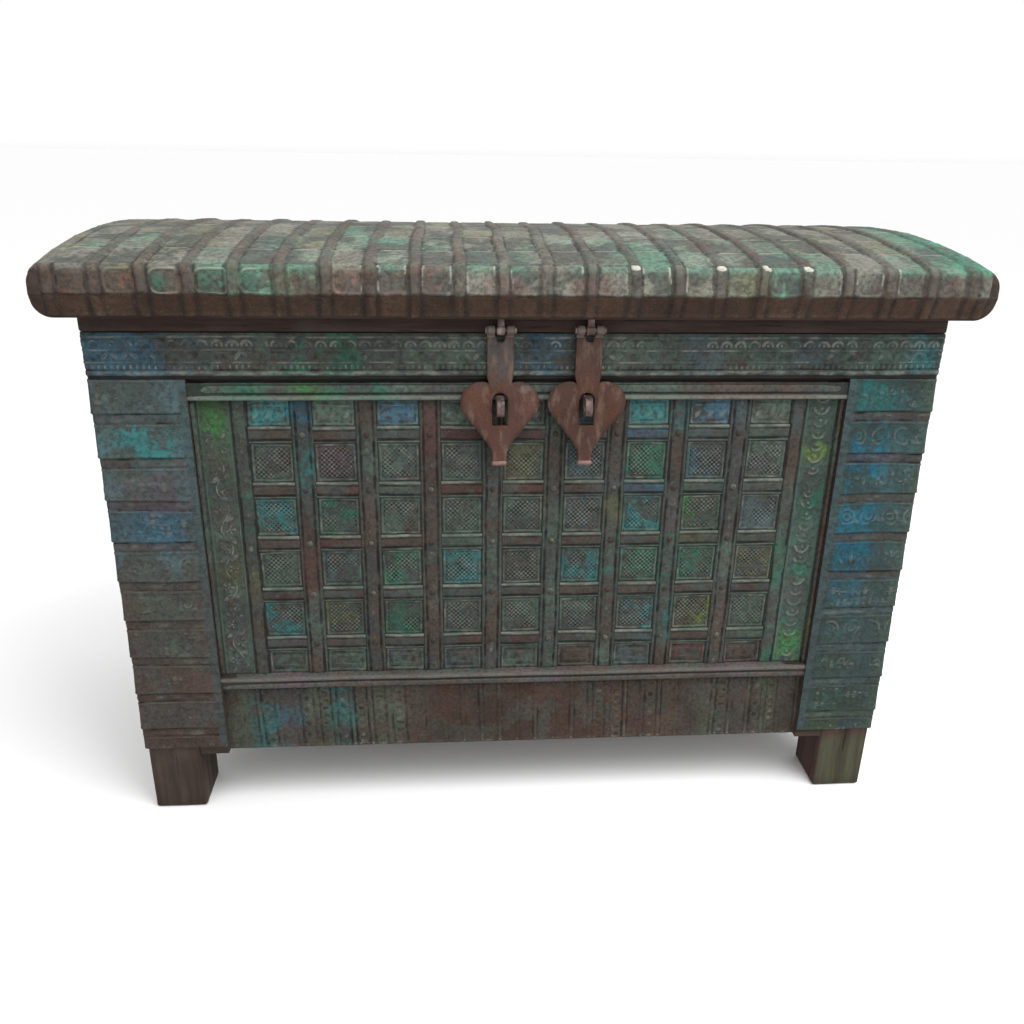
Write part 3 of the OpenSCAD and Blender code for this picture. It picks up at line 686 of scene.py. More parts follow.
def worn_timber(node, axis, paint_of, seed, body="carcass", bevel=2.2, wear=0.9):
    """A timber in the place of a CAD node, with rounded edges and a surface worn inwards.

    Its section goes round the axis as a rounded rectangle, and both ends are drawn in.
    paint_of gives the paint for points and their outward directions."""
    low, high = mm_box(node)
    u, v = [k for k in range(3) if k != axis]
    half = (high - low) / 2
    middle = (high + low) / 2
    spacing = 7.0
    corner = np.linspace(0, math.pi / 2, 4)
    section = []
    for quarter, (su, sv) in enumerate(((1, 1), (-1, 1), (-1, -1), (1, -1))):
        for angle in corner:
            turned = angle + quarter * math.pi / 2
            section.append((su * (half[u] - bevel) + bevel * math.cos(turned),
                            sv * (half[v] - bevel) + bevel * math.sin(turned)))
    section.append(section[0])
    loop = []
    for start, end in zip(np.array(section), np.array(section[1:])):
        for t in steps_between(0, 1, spacing / max(np.linalg.norm(end - start), 1e-6))[:-1]:
            loop.append(start + (end - start) * t)
    loop = np.array(loop)
    stations = steps_between(-half[axis] + bevel, half[axis] - bevel, 16)
    stations = np.concatenate([[-half[axis]], [-half[axis] + bevel * 0.4], stations,
                               [half[axis] - bevel * 0.4], [half[axis]]])
    drawn_in = np.zeros(len(stations))
    drawn_in[[0, -1]] = bevel
    drawn_in[[1, -2]] = bevel * 0.4
    grid = np.zeros((len(stations), len(loop), 3))
    shrink_u = 1 - drawn_in / half[u]
    shrink_v = 1 - drawn_in / half[v]
    grid[..., axis] = stations[:, None]
    grid[..., u] = loop[:, 0] * shrink_u[:, None]
    grid[..., v] = loop[:, 1] * shrink_v[:, None]
    around = np.linspace(0, 2 * math.pi, len(loop), endpoint=False)
    dent = rough_noise(stations[:, None] + 0 * around, 40 * np.cos(around) + 0 * grid[..., 0],
                       34, seed) + 0.6 * rough_noise(stations[:, None] + 0 * around,
                                                     40 * np.sin(around) + 0 * grid[..., 0],
                                                     12, seed + 1)
    direction = np.zeros_like(grid)
    direction[..., u] = np.cos(around)
    direction[..., v] = np.sin(around)
    facing = grid / half
    grid[..., u] *= 1 - dent * wear / half[u]
    grid[..., v] *= 1 - dent * wear / half[v]
    mould = Mould()
    points = grid + middle
    paint = paint_of(points, facing)
    faces = mould.add(points, paint, 0.5)
    nxt = np.roll(faces, -1, axis=1)
    turns_right = axis != 1
    if turns_right:
        mould.add_quads(faces[:-1], nxt[:-1], nxt[1:], faces[1:])
        mould.fan(faces[0], points[0].mean(axis=0))
        mould.fan(faces[-1][::-1], points[-1].mean(axis=0))
    else:
        mould.add_quads(faces[:-1], faces[1:], nxt[1:], nxt[:-1])
        mould.fan(faces[0][::-1], points[0].mean(axis=0))
        mould.fan(faces[-1], points[-1].mean(axis=0))
    return mould.piece(f"worn_{node}", body, MATERIALS["timber_" + "xyz"[axis]], [node])


def leg_paint(points, facing):
    """Bare brown feet; the right ones are olive in front, with red-brown sides and tops."""
    brown = tone("earth") * (0.8 + 0.5 * rough_noise(points[..., 0], points[..., 2], 30, 5)
                             )[..., None]
    front = step(0.90, 0.97, -facing[..., 1]) * step(0, 40, points[..., 0])
    painted = mixed(brown, tone("olive") * 0.95, front * 0.9)
    red = step(0.90, 0.97, np.abs(facing[..., 0])) * step(0, 40, points[..., 0])
    painted = mixed(painted, tone("maroon") * 0.9, red * 0.75)
    top_edge = step(86, 96, points[..., 2]) * step(0, 40, points[..., 0])
    return mixed(painted, tone("maroon"), top_edge * 0.8)


def rail_paint(points, facing):
    """Dark brown with the last of a green wash outside."""
    out = step(0.86, 0.97, np.maximum(np.abs(facing[..., 0]), np.abs(facing[..., 1])))
    wash = step(0.42, 0.62, rough_noise(points[..., 0] + points[..., 1], points[..., 2], 48, 9))
    return mixed(tone("earth"), tone("deep_green") * 0.6, 0.55 * wash * out)


def board_paint(points, facing):
    """Green and blue paint, much worn, on the outside of the walls."""
    along = points[..., 0] + points[..., 1]
    wash = step(0.34, 0.60, rough_noise(along, points[..., 2], 60, 21))
    blue = step(0.45, 0.65, rough_noise(along, points[..., 2], 110, 27))
    colour = mixed(tone("grey_green") * 0.72, tone("ash") * 0.62, blue)
    return mixed(tone("earth") * 0.9, colour, wash * 0.8)


def rim_paint(points, facing):
    """Dark red brown."""
    spread = rough_noise(points[..., 0] + points[..., 1], points[..., 2], 55, 33)
    return mixed(tone("rim_red"), tone("earth") * 0.8, spread * 0.6)


class TimberFrame(bpy.types.Operator):
    """Legs, rails, rims and wall boards with worn edges; the hidden boards get plain timber"""
    bl_idname = "dowry_chest.timber"
    bl_label = "Timber frame"

    def execute(self, context):
        seed = 100
        for name in ("front_left", "front_right", "back_left", "back_right"):
            worn_timber(f"leg_{name}", 2, leg_paint, seed, bevel=3.5, wear=0.8)
            seed += 10
        for kind, paint in (("bottom_rail", rail_paint), ("top_rail", rail_paint),
                            ("rim", rim_paint)):
            for name, axis in (("front", 0), ("back", 0), ("left", 1), ("right", 1)):
                worn_timber(f"{kind}_{name}", axis, paint, seed, wear=0.6)
                seed += 10
        for name, axis in (("back", 0), ("left", 1), ("right", 1)):
            for level in ("lower", "upper"):
                worn_timber(f"{name}_board_{level}", axis, board_paint, seed)
                seed += 10
        for node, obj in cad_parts.items():
            if node.startswith(("front_board", "floor", "stile", "lid_board", "lid_rail")):
                finish_node(obj, "plain_x")
            elif node.startswith("lid_end"):
                finish_node(obj, "plain_y")
        return {"FINISHED"}


def finish_node(obj, material):
    """Gives a CAD piece that stays one of the finishes."""
    obj.data.materials.clear()
    obj.data.materials.append(MATERIALS[material])


# ---- Posts and the top band ----


def plate_pattern(u, v, kind):
    """A post plate's motif, u and v in millimetres from its middle."""
    flower = np.maximum(rosette(repeat(u, 40), v, 14, 7),
                        leaf(repeat(u + 20, 40), v, 13, 4.5, 1.57))
    swirl = np.maximum.reduce([ring(repeat(u, 31), v + 2, 11, 2.2), ring(repeat(u, 31), v + 2, 4.6, 1.8),
                               leaf(repeat(u + 15.5, 31), v - 4, 13, 4, 0.7)])
    grains = np.maximum(dome(repeat(u, 9.5), repeat(v, 8.5), 3.7, 3.2),
                        0.9 * bead(repeat(v + 4.2, 17), 1.6))
    return np.choose(kind % 3, [flower, swirl, grains])


class PostPlates(bpy.types.Operator):
    """Embossed plates and straps on the front posts, carried round their corners"""
    bl_idname = "dowry_chest.post_plates"
    bl_label = "Post plates"

    def execute(self, context):
        for side, name in ((LEFT, "left"), (RIGHT, "right")):
            self.make_post(side, name)
        return {"FINISHED"}

    def make_post(self, side, name):
        """One post's cladding."""
        low, high = mm_box(f"post_skin_{name}")
        inner = abs(low[0]) if side > 0 else abs(high[0])
        depth = high[1] - 1
        corners = [(inner, FRONT_Y), (BODY_HALF, FRONT_Y), (BODY_HALF, depth)]
        path, travelled = filleted(corners, 4.5, 1.6)
        if side < 0:
            path = path[::-1] * (-1, 1)
        across = travelled if side > 0 else travelled[::-1]
        heights = steps_between(low[2], high[2] - 0.5, 1.6)
        grid = upright_grid(path, heights)
        u, z = np.meshgrid(across, heights)
        pitch, strap = size_mm("plate_pitch"), size_mm("strap_height")
        seed = 300 if side < 0 else 340
        wobble = 2.6 * sway_at(u, z, 60, seed)
        down = high[2] - z + wobble
        number = np.floor(down / pitch).astype(int)
        at = down - number * pitch
        plate = pitch - strap
        middle = at - plate / 2
        corner_at = BODY_HALF - inner
        on_side = u > corner_at
        local = np.where(on_side, u - corner_at - 41, u - 62 + 9 * cell_noise(number, 1, seed))
        kind = (cell_noise(number, 3, seed) * 2.99).astype(int)
        motif = plate_pattern(local, middle + 1.5 * np.sin(local / 9), kind)
        frame_lines = np.maximum(bead(middle + plate / 2 - 2, 1.7),
                                 0.8 * bead(middle - plate / 2 + 2.5, 1.7))
        frame_lines = frame_lines * (0.45 + 0.7 * rough_noise(u, z, 18, seed + 3))
        edge = np.maximum(bead(u - 13, 1.6), bead(u - (corner_at - 5), 1.5))
        edge = edge * rough_noise(u, z, 25, seed + 5)
        soften = 0.40 + 0.95 * rough_noise(u, z, 34, seed + 4)
        inside = step(17, 20, u) * step(3, 6, np.abs(u - corner_at + 2))
        inside = inside * step(3.5, 6, plate / 2 - np.abs(middle))
        beaten = 0.6 * chased(u * 0.3, z, 6.5, seed + 11) + 0.35 * chased(u, z, 9, seed + 13)
        boldness = 0.75 if side < 0 else 1.25
        raised = boldness * motif * soften - 0.25 * (boldness - 0.4)
        plate_height = np.maximum(-0.12 + raised * inside + beaten, frame_lines * 0.85)
        plate_height = np.maximum(plate_height, edge * 0.7)
        inner_edge = 0.1 + 0.3 * bead(repeat(z, 17) + u * 0.4, 2.4) + 0.35 * beaten
        strip = np.where(u < 10, inner_edge, plate_height)
        on_strap = step(plate - 0.8, plate + 0.8, at)
        strap_at = at - plate - strap / 2
        strap_height = (0.5 * bead(strap_at, 6) - 0.12 + 0.8 * beaten
                        - 0.35 * bead(np.abs(strap_at) - strap / 2 + 1, 1.4))
        full_strap = on_strap * step(8, 12, u)
        pattern = strip * (1 - full_strap) + strap_height * full_strap
        bulge = 1.7 * (1 - full_strap) * np.clip(at / plate, 0, 1) ** 1.4 * step(8, 16, u)
        dents = dents_at(u, z, 42, seed + 8)
        height = 0.8 * pattern + bulge - 0.4 + dents
        paint = self.post_paint(side, u, z, down / pitch, corner_at, full_strap, seed)
        hub = (side * (BODY_HALF - 40), FRONT_Y + 40, (low[2] + high[2]) / 2)
        mould = Mould()
        mould.sheet(grid, height, paint, relief_value(pattern), 2.6, hub)
        mould.piece(f"post_plates_{name}", "carcass", MATERIALS["post"],
                    [f"post_skin_{name}"])

    def post_paint(self, side, u, z, plates_down, corner_at, full_strap, seed):
        """Each plate's own colour in patches over a dull film, with worn straps."""
        tint_at = plates_down + 0.18 * dents_at(u, z, 25, seed + 9)
        lower = step(3.6, 5.4, tint_at)[..., None] * (1.0 if side < 0 else 0.35)
        film = tone("ash") * (1 - lower) + tone("umber") * lower
        patch = 0.25 + 0.75 * step(18, 34, u) * step(corner_at - 18, corner_at - 36, u)
        if side > 0:
            patch = 0.9 * step(10, 20, u) * step(78, 52, u + 12 * sway_at(u, z, 30, 1))
        paint = plan_paint(PLATE_PLAN[side], tint_at, 0.18)
        paint = mixed(film, paint, np.where(u > corner_at, 0.4, patch))
        paint = weathered(paint, u, z, seed, loss=0.35, bare="charcoal", size=30, cover=0.62)
        paint = paint * ((1.07, 1.2, 1.22) if side < 0 else (0.50, 0.82, 0.82))
        paint = paint * (1 - lower * (-0.04, 0.20, 0.22))
        if side > 0:
            edge_fade = step(corner_at - 26, corner_at - 2, u)
            paint = mixed(paint, tone("grey_green") * 0.9, 0.55 * edge_fade)
        strap_paint = plan_paint(STRAP_PLAN[side], plates_down)
        paint = mixed(paint, strap_paint * 0.9, full_strap * 0.7)
        inner_strip = step(13, 9, u)
        return mixed(paint, tone("ash") * 0.85, inner_strip * 0.6)


class TopBand(bpy.types.Operator):
    """The embossed band under the rim, and the mouldings round the panel"""
    bl_idname = "dowry_chest.top_band"
    bl_label = "Top band"

    def execute(self, context):
        low, high = mm_box("top_band_skin")
        depth = high[1] - 1
        corners = [(-BODY_HALF, depth), (-BODY_HALF, FRONT_Y), (BODY_HALF, FRONT_Y),
                   (BODY_HALF, depth)]
        path, travelled = filleted(corners, 4.5, 1.6)
        heights = steps_between(low[2] + 0.5, high[2] - 0.5, 1.2)
        grid = upright_grid(path, heights)
        travelled = travelled - travelled[-1] / 2
        u, z = np.meshgrid(travelled, heights)
        up = z - low[2] + 1.6 * sway_at(u, z, 90, 401)
        u = u + 2.5 * sway_at(u, z, 70, 403)
        arches = ring(repeat(u, 18.4), up - 42, 6.4, 3.0) * step(39, 42, up)
        arches = np.maximum(arches, dome(repeat(u, 18.4), up - 43, 2.6, 3.6))
        curls = np.maximum(leaf(repeat(u + 6, 23), up - 29.5, 9, 4.2, -0.7),
                           leaf(repeat(u - 5.5, 23), up - 29.5, 9, 4.2, 0.9))
        dashes = bead(repeat(u, 7.6), 2.3) * bead(up - 15.5, 4.4)
        lines = np.maximum.reduce([0.8 * bead(up - 53.5, 2.0), 0.65 * bead(up - 37.0, 1.4),
                                   0.7 * bead(up - 21.6, 1.4), 0.85 * bead(up - 7.8, 3.4)])
        soften = 0.55 + 0.75 * rough_noise(u, z, 36, 405)
        pattern = np.maximum(-0.75 + 1.6 * np.maximum.reduce([arches, curls, dashes]) * soften,
                             lines * (0.6 + 0.6 * rough_noise(u, z, 22, 406)))
        pattern = pattern - 1.1 * bead(up - 2.0, 2.4) - 0.5 * bead(up - 12.0, 1.2)
        pattern = 1.1 * pattern + 0.45 * chased(u * 0.6, z, 8, 408) - 0.1
        height = 0.8 * pattern + 0.9 * dents_at(u, z, 46, 407) - 0.1
        tint_at = (u + BODY_HALF) / 50 + 0.8 * dents_at(u, z, 26, 409)
        paint = weathered(plan_paint(TOP_BAND_PLAN, tint_at), u, z, 411, loss=0.5)
        paint = paint * (0.9 - 0.16 * step(200, 500, u[..., None]) * (1.4, 0.6, 0.3))
        paint = mixed(paint, tone("umber") * 0.8, 0.6 * step(4, 1, up))
        mould = Mould()
        mould.sheet(grid, height, paint, relief_value(pattern), 2.4,
                    (0, FRONT_Y + 60, (low[2] + high[2]) / 2))
        mould.piece("top_band_motifs", "carcass", MATERIALS["panel"], ["top_band_skin"])
        self.moulding("top_moulding", TOP_MOULDING_PLAN, 3.2, 421)
        self.moulding("bottom_moulding", "upuuuupuuupu", 2.2, 431)
        self.side_mouldings()
        return {"FINISHED"}

    def moulding(self, node, plan, round_r, seed):
        """A level moulding: a cove over a rounded lip, or two thin beads."""
        low, high = mm_box(node)
        corners = [(high[1], low[2]), (low[1], low[2]), (low[1], high[2]), (high[1], high[2])]
        path, travelled = filleted(corners, round_r, 0.9)
        x_values = steps_between(low[0], high[0], 3.5)
        grid = np.zeros((len(path), len(x_values), 3))
        grid[..., 0] = x_values
        grid[..., 1] = path[:, :1]
        grid[..., 2] = path[:, 1:]
        x, along = np.meshgrid(x_values, travelled)
        up = grid[..., 2] - low[2] + 1.2 * sway_at(x, along * 0, 120, seed)
        if node == "top_moulding":
            pattern = 0.85 * bead(up - 4.2, 3.8) - 1.0 * bead(up - 9.6, 2.0) + 0.35 * bead(
                up - 15.5, 4.5) - 0.7 * bead(up - 22, 1.8)
        else:
            pattern = (0.75 * bead(up - 17.5, 4.2) - 1.1 * bead(up - 11.6, 1.8)
                       + 0.45 * bead(up - 6.5, 3.8) - 0.6 * bead(up - 1.4, 1.4))
        dents = dents_at(x, along, 26, seed + 3)
        height = 1.1 * pattern + 1.3 * dents - 1.2
        paint = plan_paint(plan, (x - low[0]) / (high[0] - low[0]) * len(plan) + 0.5 * dents)
        paint = weathered(paint, x, along, seed + 5, loss=0.4) * 1.35
        mould = Mould()
        mould.sheet(grid, height, paint, relief_value(pattern), 0.6,
                    (0, high[1] - 1.5, (low[2] + high[2]) / 2))
        mould.piece(f"{node}_worn", "carcass", MATERIALS["moulding"], [node])

    def side_mouldings(self):
        """The two upright mouldings beside the panel."""
        low, high = mm_box("side_mouldings")
        wide = RIB_LOW[0] - low[0] - size_mm("border_width")
        mould = Mould()
        for side in (LEFT, RIGHT):
            inner, outer = side * (high[0] - wide), side * high[0]
            start, end = min(inner, outer), max(inner, outer)
            corners = [(start, high[1]), (start, low[1]), (end, low[1]), (end, high[1])]
            path, travelled = filleted(corners, 1.8, 0.8)
            heights = steps_between(low[2], high[2], 3.5)
            grid = upright_grid(path, heights)
            along, z = np.meshgrid(travelled, heights)
            dents = dents_at(along * 2, z, 22, 441 + side)
            tint = "ggagguagu" if side < 0 else "uguumuuou"
            paint = plan_paint(tint, (high[2] - z) / (high[2] - low[2]) * len(tint))
            mould.sheet(grid, 1.2 * dents - 0.6, weathered(paint, along, z, 443, loss=0.4),
                        0.62 + 0.3 * dents, 0.5, ((start + end) / 2, high[1] - 1, z.mean()))
        mould.piece("side_mouldings_worn", "carcass", MATERIALS["moulding"], ["side_mouldings"])


# ---- The panel ----


def column_middle(column):
    """x of a column of squares."""
    return (column - (sizes().columns - 1) / 2) * size_mm("rib_pitch")


def row_limits(row):
    """Lowest and highest z of a row of squares, from the part row under the moulding down."""
    first = RIB_LOW[2] + size_mm("band_start")
    bands = sizes().rows
    band_low = [first + k * size_mm("band_pitch") for k in range(bands)]
    edges = [RIB_LOW[2]] + [z for b in band_low for z in (b, b + size_mm("band_height"))]
    edges.append(RIB_HIGH[2])
    place = bands - row
    return edges[2 * place], edges[2 * place + 1]


class PanelSquares(bpy.types.Operator):
    """Framed squares of diamond lattice, with leaves above and plain plates below"""
    bl_idname = "dowry_chest.panel_squares"
    bl_label = "Panel squares"

    def execute(self, context):
        columns, bands = sizes().columns, sizes().rows
        wide = size_mm("rib_pitch") - size_mm("rib_width")
        for row in range(bands + 1):
            mould = Mould()
            z0, z1 = row_limits(row)
            for column in range(columns):
                self.square(mould, row, column, column_middle(column), wide, z0, z1)
            mould.piece(f"panel_squares_{row + 1}", "carcass", MATERIALS["panel"],
                        ["panel_sheet"])
        return {"FINISHED"}

    def square(self, mould, row, column, middle, wide, z0, z1):
        """One plate of the grid."""
        fine = 0.92 if 0 < row < sizes().rows else 1.2
        x_values = steps_between(middle - wide / 2 - 0.8, middle + wide / 2 + 0.8, fine)
        z_values = steps_between(z0 - 0.8, z1 + 0.8, fine)
        grid = facing_grid(x_values, z_values, PANEL_Y)
        x, z = np.meshgrid(x_values, z_values)
        seed = 500 + row * 20 + column
        turn = 0.05 * (cell_noise(column, row, 51) - 0.5)
        du, dv = x - middle, z - (z0 + z1) / 2
        u = du * math.cos(turn) + dv * math.sin(turn) + 1.2 * sway_at(x, z, 24, seed)
        v = dv * math.cos(turn) - du * math.sin(turn) + 1.2 * sway_at(z, x, 24, seed)
        inset = np.minimum(wide / 2 - np.abs(u), (z1 - z0) / 2 - np.abs(v))
        rim = 0.75 * bead(inset - 2.2, 1.9) * (0.2 + 1.1 * rough_noise(x, z, 16, seed + 1))
        field = step(4.0, 6.2, inset)
        pitch = size_mm("lattice_pitch")
        a, b = (u + v) / pitch, (u - v) / pitch
        lines = np.maximum(1 - 2 * np.abs(a - np.round(a)), 1 - 2 * np.abs(b - np.round(b)))
        knots = dome(repeat(a, 1), repeat(b, 1), 0.36, 0.36)
        rubbed = 0.35 + 0.85 * step(0.30, 0.58, rough_noise(x, z, 20, seed + 3))
        round_off = step(31, 24, np.hypot(u, v))
        if 0 < row < sizes().rows:
            motif = (-0.75 + 1.35 * lines ** 1.4 + 0.45 * knots) * rubbed * round_off
        elif row == 0:
            motif = 0.05 + 0.8 * np.maximum(leaf(repeat(u, 17), v + 3, 8, 4.2, 0.8),
                                            0.8 * bead(v - 9.5, 1.8))
        else:
            motif = -0.15 + 0.5 * bead(inset - 11, 1.4)
        groove = -0.30 * bead(inset - 5.0, 1.8) + 0.28 * chased(x, z, 8, seed + 2)
        pattern = rim * (1 - field) + groove + motif * field - 0.35 * step(1.3, 0.2, inset)
        height = 0.78 * pattern + 0.7 * dents_at(x, z, 34, seed + 5)
        paint = tone(LETTERS[SQUARE_PLAN[row][column]]) * (1.0 if row else 1.6)
        paint = weathered(paint, x, z, seed + 7, loss=0.45, cover=0.55 if row else 0.85)
        plain = 0.55 * step(0.45, 0.62, rough_noise(x, z, 22, seed + 9))
        paint = mixed(paint, tone("grey_green") * 0.95, plain * step(9, 4, inset))
        mould.sheet(grid, height, paint, relief_value(pattern), 1.4,
                    (middle, PANEL_Y + 1.6, (z0 + z1) / 2))


class PanelStrips(bpy.types.Operator):
    """The upright and level strips between the squares, and their domed nails"""
    bl_idname = "dowry_chest.panel_strips"
    bl_label = "Panel strips"

    def execute(self, context):
        self.uprights()
        self.levels()
        self.nails()
        return {"FINISHED"}

    def uprights(self):
        """Ribbed strips from the bottom moulding to the top one."""
        if len(RIB_PLAN[0]) != sizes().rows + 1:
            raise ValueError("Each strip's plan needs one letter for each row of squares")
        mould = Mould()
        half = size_mm("rib_width") / 2
        for number, plan in enumerate(RIB_PLAN):
            middle = (number - sizes().columns / 2) * size_mm("rib_pitch")
            start, end = max(middle - half, RIB_LOW[0]), min(middle + half, RIB_HIGH[0])
            x_values = steps_between(start, end, 1.15)
            z_values = steps_between(RIB_LOW[2], RIB_HIGH[2], 1.6)
            grid = facing_grid(x_values, z_values, RIB_LOW[1] + 1.6)
            x, z = np.meshgrid(x_values, z_values)
            seed = 700 + number * 9
            u = x - (start + end) / 2 + 1.8 * sway_at(z, x * 0, 46, seed)
            bosses = dome(u, repeat(z - RIB_LOW[2] - 56, 12.7), 3.4, 4.6)
            rings = ring(u, repeat(z - RIB_LOW[2] - 56, 25.4), 4.4, 1.2)
            spine = 0.35 * bead(u, 6.6)
            body = np.maximum(spine + 0.3 * np.where(number % 2, rings, bosses), 0.1)
            edges = 0.42 * bead(np.abs(u) - 12.2, 1.8)
            grooves = -0.70 * bead(np.abs(u) - 8.8, 2.2)
            worn = 0.3 + 0.9 * rough_noise(x, z, 20, seed + 2)
            pattern = (body * (np.abs(u) < 7) + edges + grooves) * worn
            pattern = pattern + 0.28 * chased(x, z, 10, seed + 3) - 0.06
            inset = np.minimum(x - start, end - x)
            shoulder = -2.2 * step(2.2, 0, inset)
            height = 0.95 * pattern + shoulder + 0.8 * dents_at(x, z, 30, seed + 4)
            down = self.row_place(z) + 0.5 * dents_at(x, z, 24, seed + 6)
            paint = weathered(plan_paint(plan, down), x, z, seed + 8, loss=0.45)
            sheltered = step(9.5, 12.5, np.abs(u))
            paint = mixed(paint, tone("grey_green") * 0.8, 0.45 * sheltered)
            mould.sheet(grid, height, paint, relief_value(pattern), 1.0,
                        ((start + end) / 2, PANEL_Y - 0.3, z.mean()))
        mould.piece("panel_uprights", "carcass", MATERIALS["panel"], ["panel_ribs"])

    def row_place(self, z):
        """How many rows of squares down from the top moulding a height is."""
        top = row_limits(0)[0] - size_mm("band_height") / 2
        return np.clip(1 + (top - z) / size_mm("band_pitch"), 0, None)

    def levels(self):
        """Short strips from rib to rib."""
        mould = Mould()
        wide = size_mm("rib_pitch") - size_mm("rib_width")
        for row, plan in enumerate(BAND_PLAN):
            high = row_limits(row)[0]
            low = high - size_mm("band_height")
            for column, letter in enumerate(plan):
                middle = column_middle(column)
                x_values = steps_between(middle - wide / 2 - 0.6, middle + wide / 2 + 0.6, 1.6)
                z_values = steps_between(low, high, 0.95)
                grid = facing_grid(x_values, z_values, RIB_LOW[1] + 2.2)
                x, z = np.meshgrid(x_values, z_values)
                seed = 900 + row * 20 + column
                v = z - (low + high) / 2 + 1.6 * sway_at(x, z * 0, 40, seed)
                ridge = 0.30 * bead(v + 1.5, 5.4) + 0.28 * chased(x * 0.5, z, 8, seed + 2)
                pattern = ridge - 0.9 * bead(v + 7.4, 2.4) - 0.4 * bead(v - 5.6, 1.6)
                pattern = pattern + 0.95 * bead(v - 9.4, 2.5) + 0.6 * bead(v + 10.8, 1.4)
                pattern = pattern * (0.45 + 0.8 * rough_noise(x, z, 24, seed + 1))
                edge = -1.6 * step(1.6, 0, (high - low) / 2 - np.abs(z - (low + high) / 2))
                height = 0.9 * pattern + edge + 0.6 * dents_at(x, z, 30, seed + 3)
                paint = weathered(tone(LETTERS[letter]) * 0.85, x, z, seed + 5, loss=0.4)
                paint = mixed(paint, tone("grey_green"), 0.8 * step(7.0, 8.6, np.abs(v)))
                mould.sheet(grid, height, paint, relief_value(pattern), 0.8,
                            (middle, PANEL_Y - 0.3, (low + high) / 2))
        mould.piece("panel_levels", "carcass", MATERIALS["panel"], ["panel_bands"])

    def nails(self):
        """Domed nail heads of uneven size, where the strips cross."""
        turns = np.linspace(0, 2 * math.pi, 20, endpoint=False)
        rise = np.array([0.0, 0.0, 0.45, 0.8, 0.97])
        out = np.array([0.96, 1.0, 0.88, 0.62, 0.30])
        mould = Mould()
        for row in range(sizes().rows):
            z = row_limits(row)[0] - size_mm("band_height") / 2
            for number in range(1, sizes().columns):
                x = (number - sizes().columns / 2) * size_mm("rib_pitch")
                radius = 3.4 + 1.2 * cell_noise(number, row, 77)
                tall = 1.5 + 0.8 * cell_noise(number, row, 79)
                base = RIB_LOW[1] + 0.9
                loops = np.zeros((len(rise), len(turns), 3))
                loops[..., 0] = x + radius * out[:, None] * np.cos(turns)
                loops[..., 2] = z + radius * out[:, None] * np.sin(turns)
                loops[..., 1] = base - (rise * tall)[:, None]
                loops[0, :, 1] += 1.2
                letter = "d" if cell_noise(number, row, 81) > 0.6 else "u"
                mould.barrel(loops, tone(LETTERS[letter]) * 0.7, 0.55,
                             ((x, base + 1.2, z), (x, base - tall, z)))
        mould.piece("domed_nails", "carcass", MATERIALS["panel"], ["cladding_nails"])


class LeafBorders(bpy.types.Operator):
    """A vine to the left of the squares, and stacked leaf cups to the right"""
    bl_idname = "dowry_chest.leaf_borders"
    bl_label = "Leaf borders"

    def execute(self, context):
        for side, name in ((LEFT, "left"), (RIGHT, "right")):
            mould = Mould()
            inner = side * RIB_HIGH[0]
            outer = inner + side * size_mm("border_width")
            x_values = steps_between(min(inner, outer) - 0.5, max(inner, outer) + 0.5, 1.15)
            z_values = steps_between(RIB_LOW[2], RIB_HIGH[2], 1.25)
            grid = facing_grid(x_values, z_values, PANEL_Y)
            x, z = np.meshgrid(x_values, z_values)
            seed = 1200 + 40 * side
            u = x - (inner + outer) / 2 + 1.6 * sway_at(z, x * 0, 50, seed)
            motif = self.vine(u, z) if side < 0 else self.cups(u, z)
            lines = np.maximum(0.8 * bead(np.abs(u) - 19.2, 1.5), 0.5 * bead(np.abs(u) - 14.8, 1.2))
            worn = 0.60 + 0.7 * rough_noise(x, z, 30, seed + 2)
            inside = step(14.4, 13.2, np.abs(u))
            beaten = 0.45 * chased(x, z, 8, seed + 3)
            pattern = np.maximum(-0.4 + 1.25 * motif * inside * worn + beaten, lines * worn * 0.8)
            height = 0.9 * pattern + 0.8 * dents_at(x, z, 34, seed + 4)
            place = (RIB_HIGH[2] - z) / (RIB_HIGH[2] - RIB_LOW[2]) * len(BORDER_PLAN[side])
            place = place + 1.2 * dents_at(x, z, 22, seed + 6)
            paint = weathered(plan_paint(BORDER_PLAN[side], place), x, z, seed + 8, loss=0.45)
            paint = mixed(paint, tone("grey_green") * 0.9, 0.6 * step(13, 16, np.abs(u)))
            if side > 0:
                paint = paint * (1 + step(520, 380, z[..., None]) * 0.25) * (0.88, 1.04, 1.06)
            mould.sheet(grid, height, paint, relief_value(pattern), 1.4,
                        ((inner + outer) / 2, PANEL_Y + 1.6, z.mean()))
            mould.piece(f"leaf_border_{name}", "carcass", MATERIALS["panel"], ["panel_sheet"])
        return {"FINISHED"}

    def vine(self, u, z):
        """A stem that swings from side to side with leaves and flowers in its bends."""
        pitch = 58
        stem = bead(u - 6.5 * np.sin(2 * math.pi * z / pitch), 2.0) * 0.9
        parts = [stem]
        for shift, side in ((0.25, -1), (0.75, 1)):
            v = repeat(z - shift * pitch, pitch)
            parts.append(rosette(u - side * 5, v, 8.0, 5))
            for lift in (-16, 16):
                parts.append(leaf(u - side * 7, v - lift, 9.5, 4.6, side * (0.7 if lift > 0 else -0.7)))
        return np.maximum.reduce(parts)

    def cups(self, u, z):
        """Leaves that curl up from each other like stacked cups."""
        pitch = 17
        v = repeat(z, pitch)
        cup = ring(u, v - 4, 8.4, 2.3) * step(3.5, 1.0, v)
        tips = np.maximum(leaf(u - 8.5, v - 2, 7, 3.2, 1.1), leaf(u + 8.5, v - 2, 7, 3.2, -1.1))
        return np.maximum.reduce([cup, tips, dome(u, v - 3.5, 3.0, 3.2)])


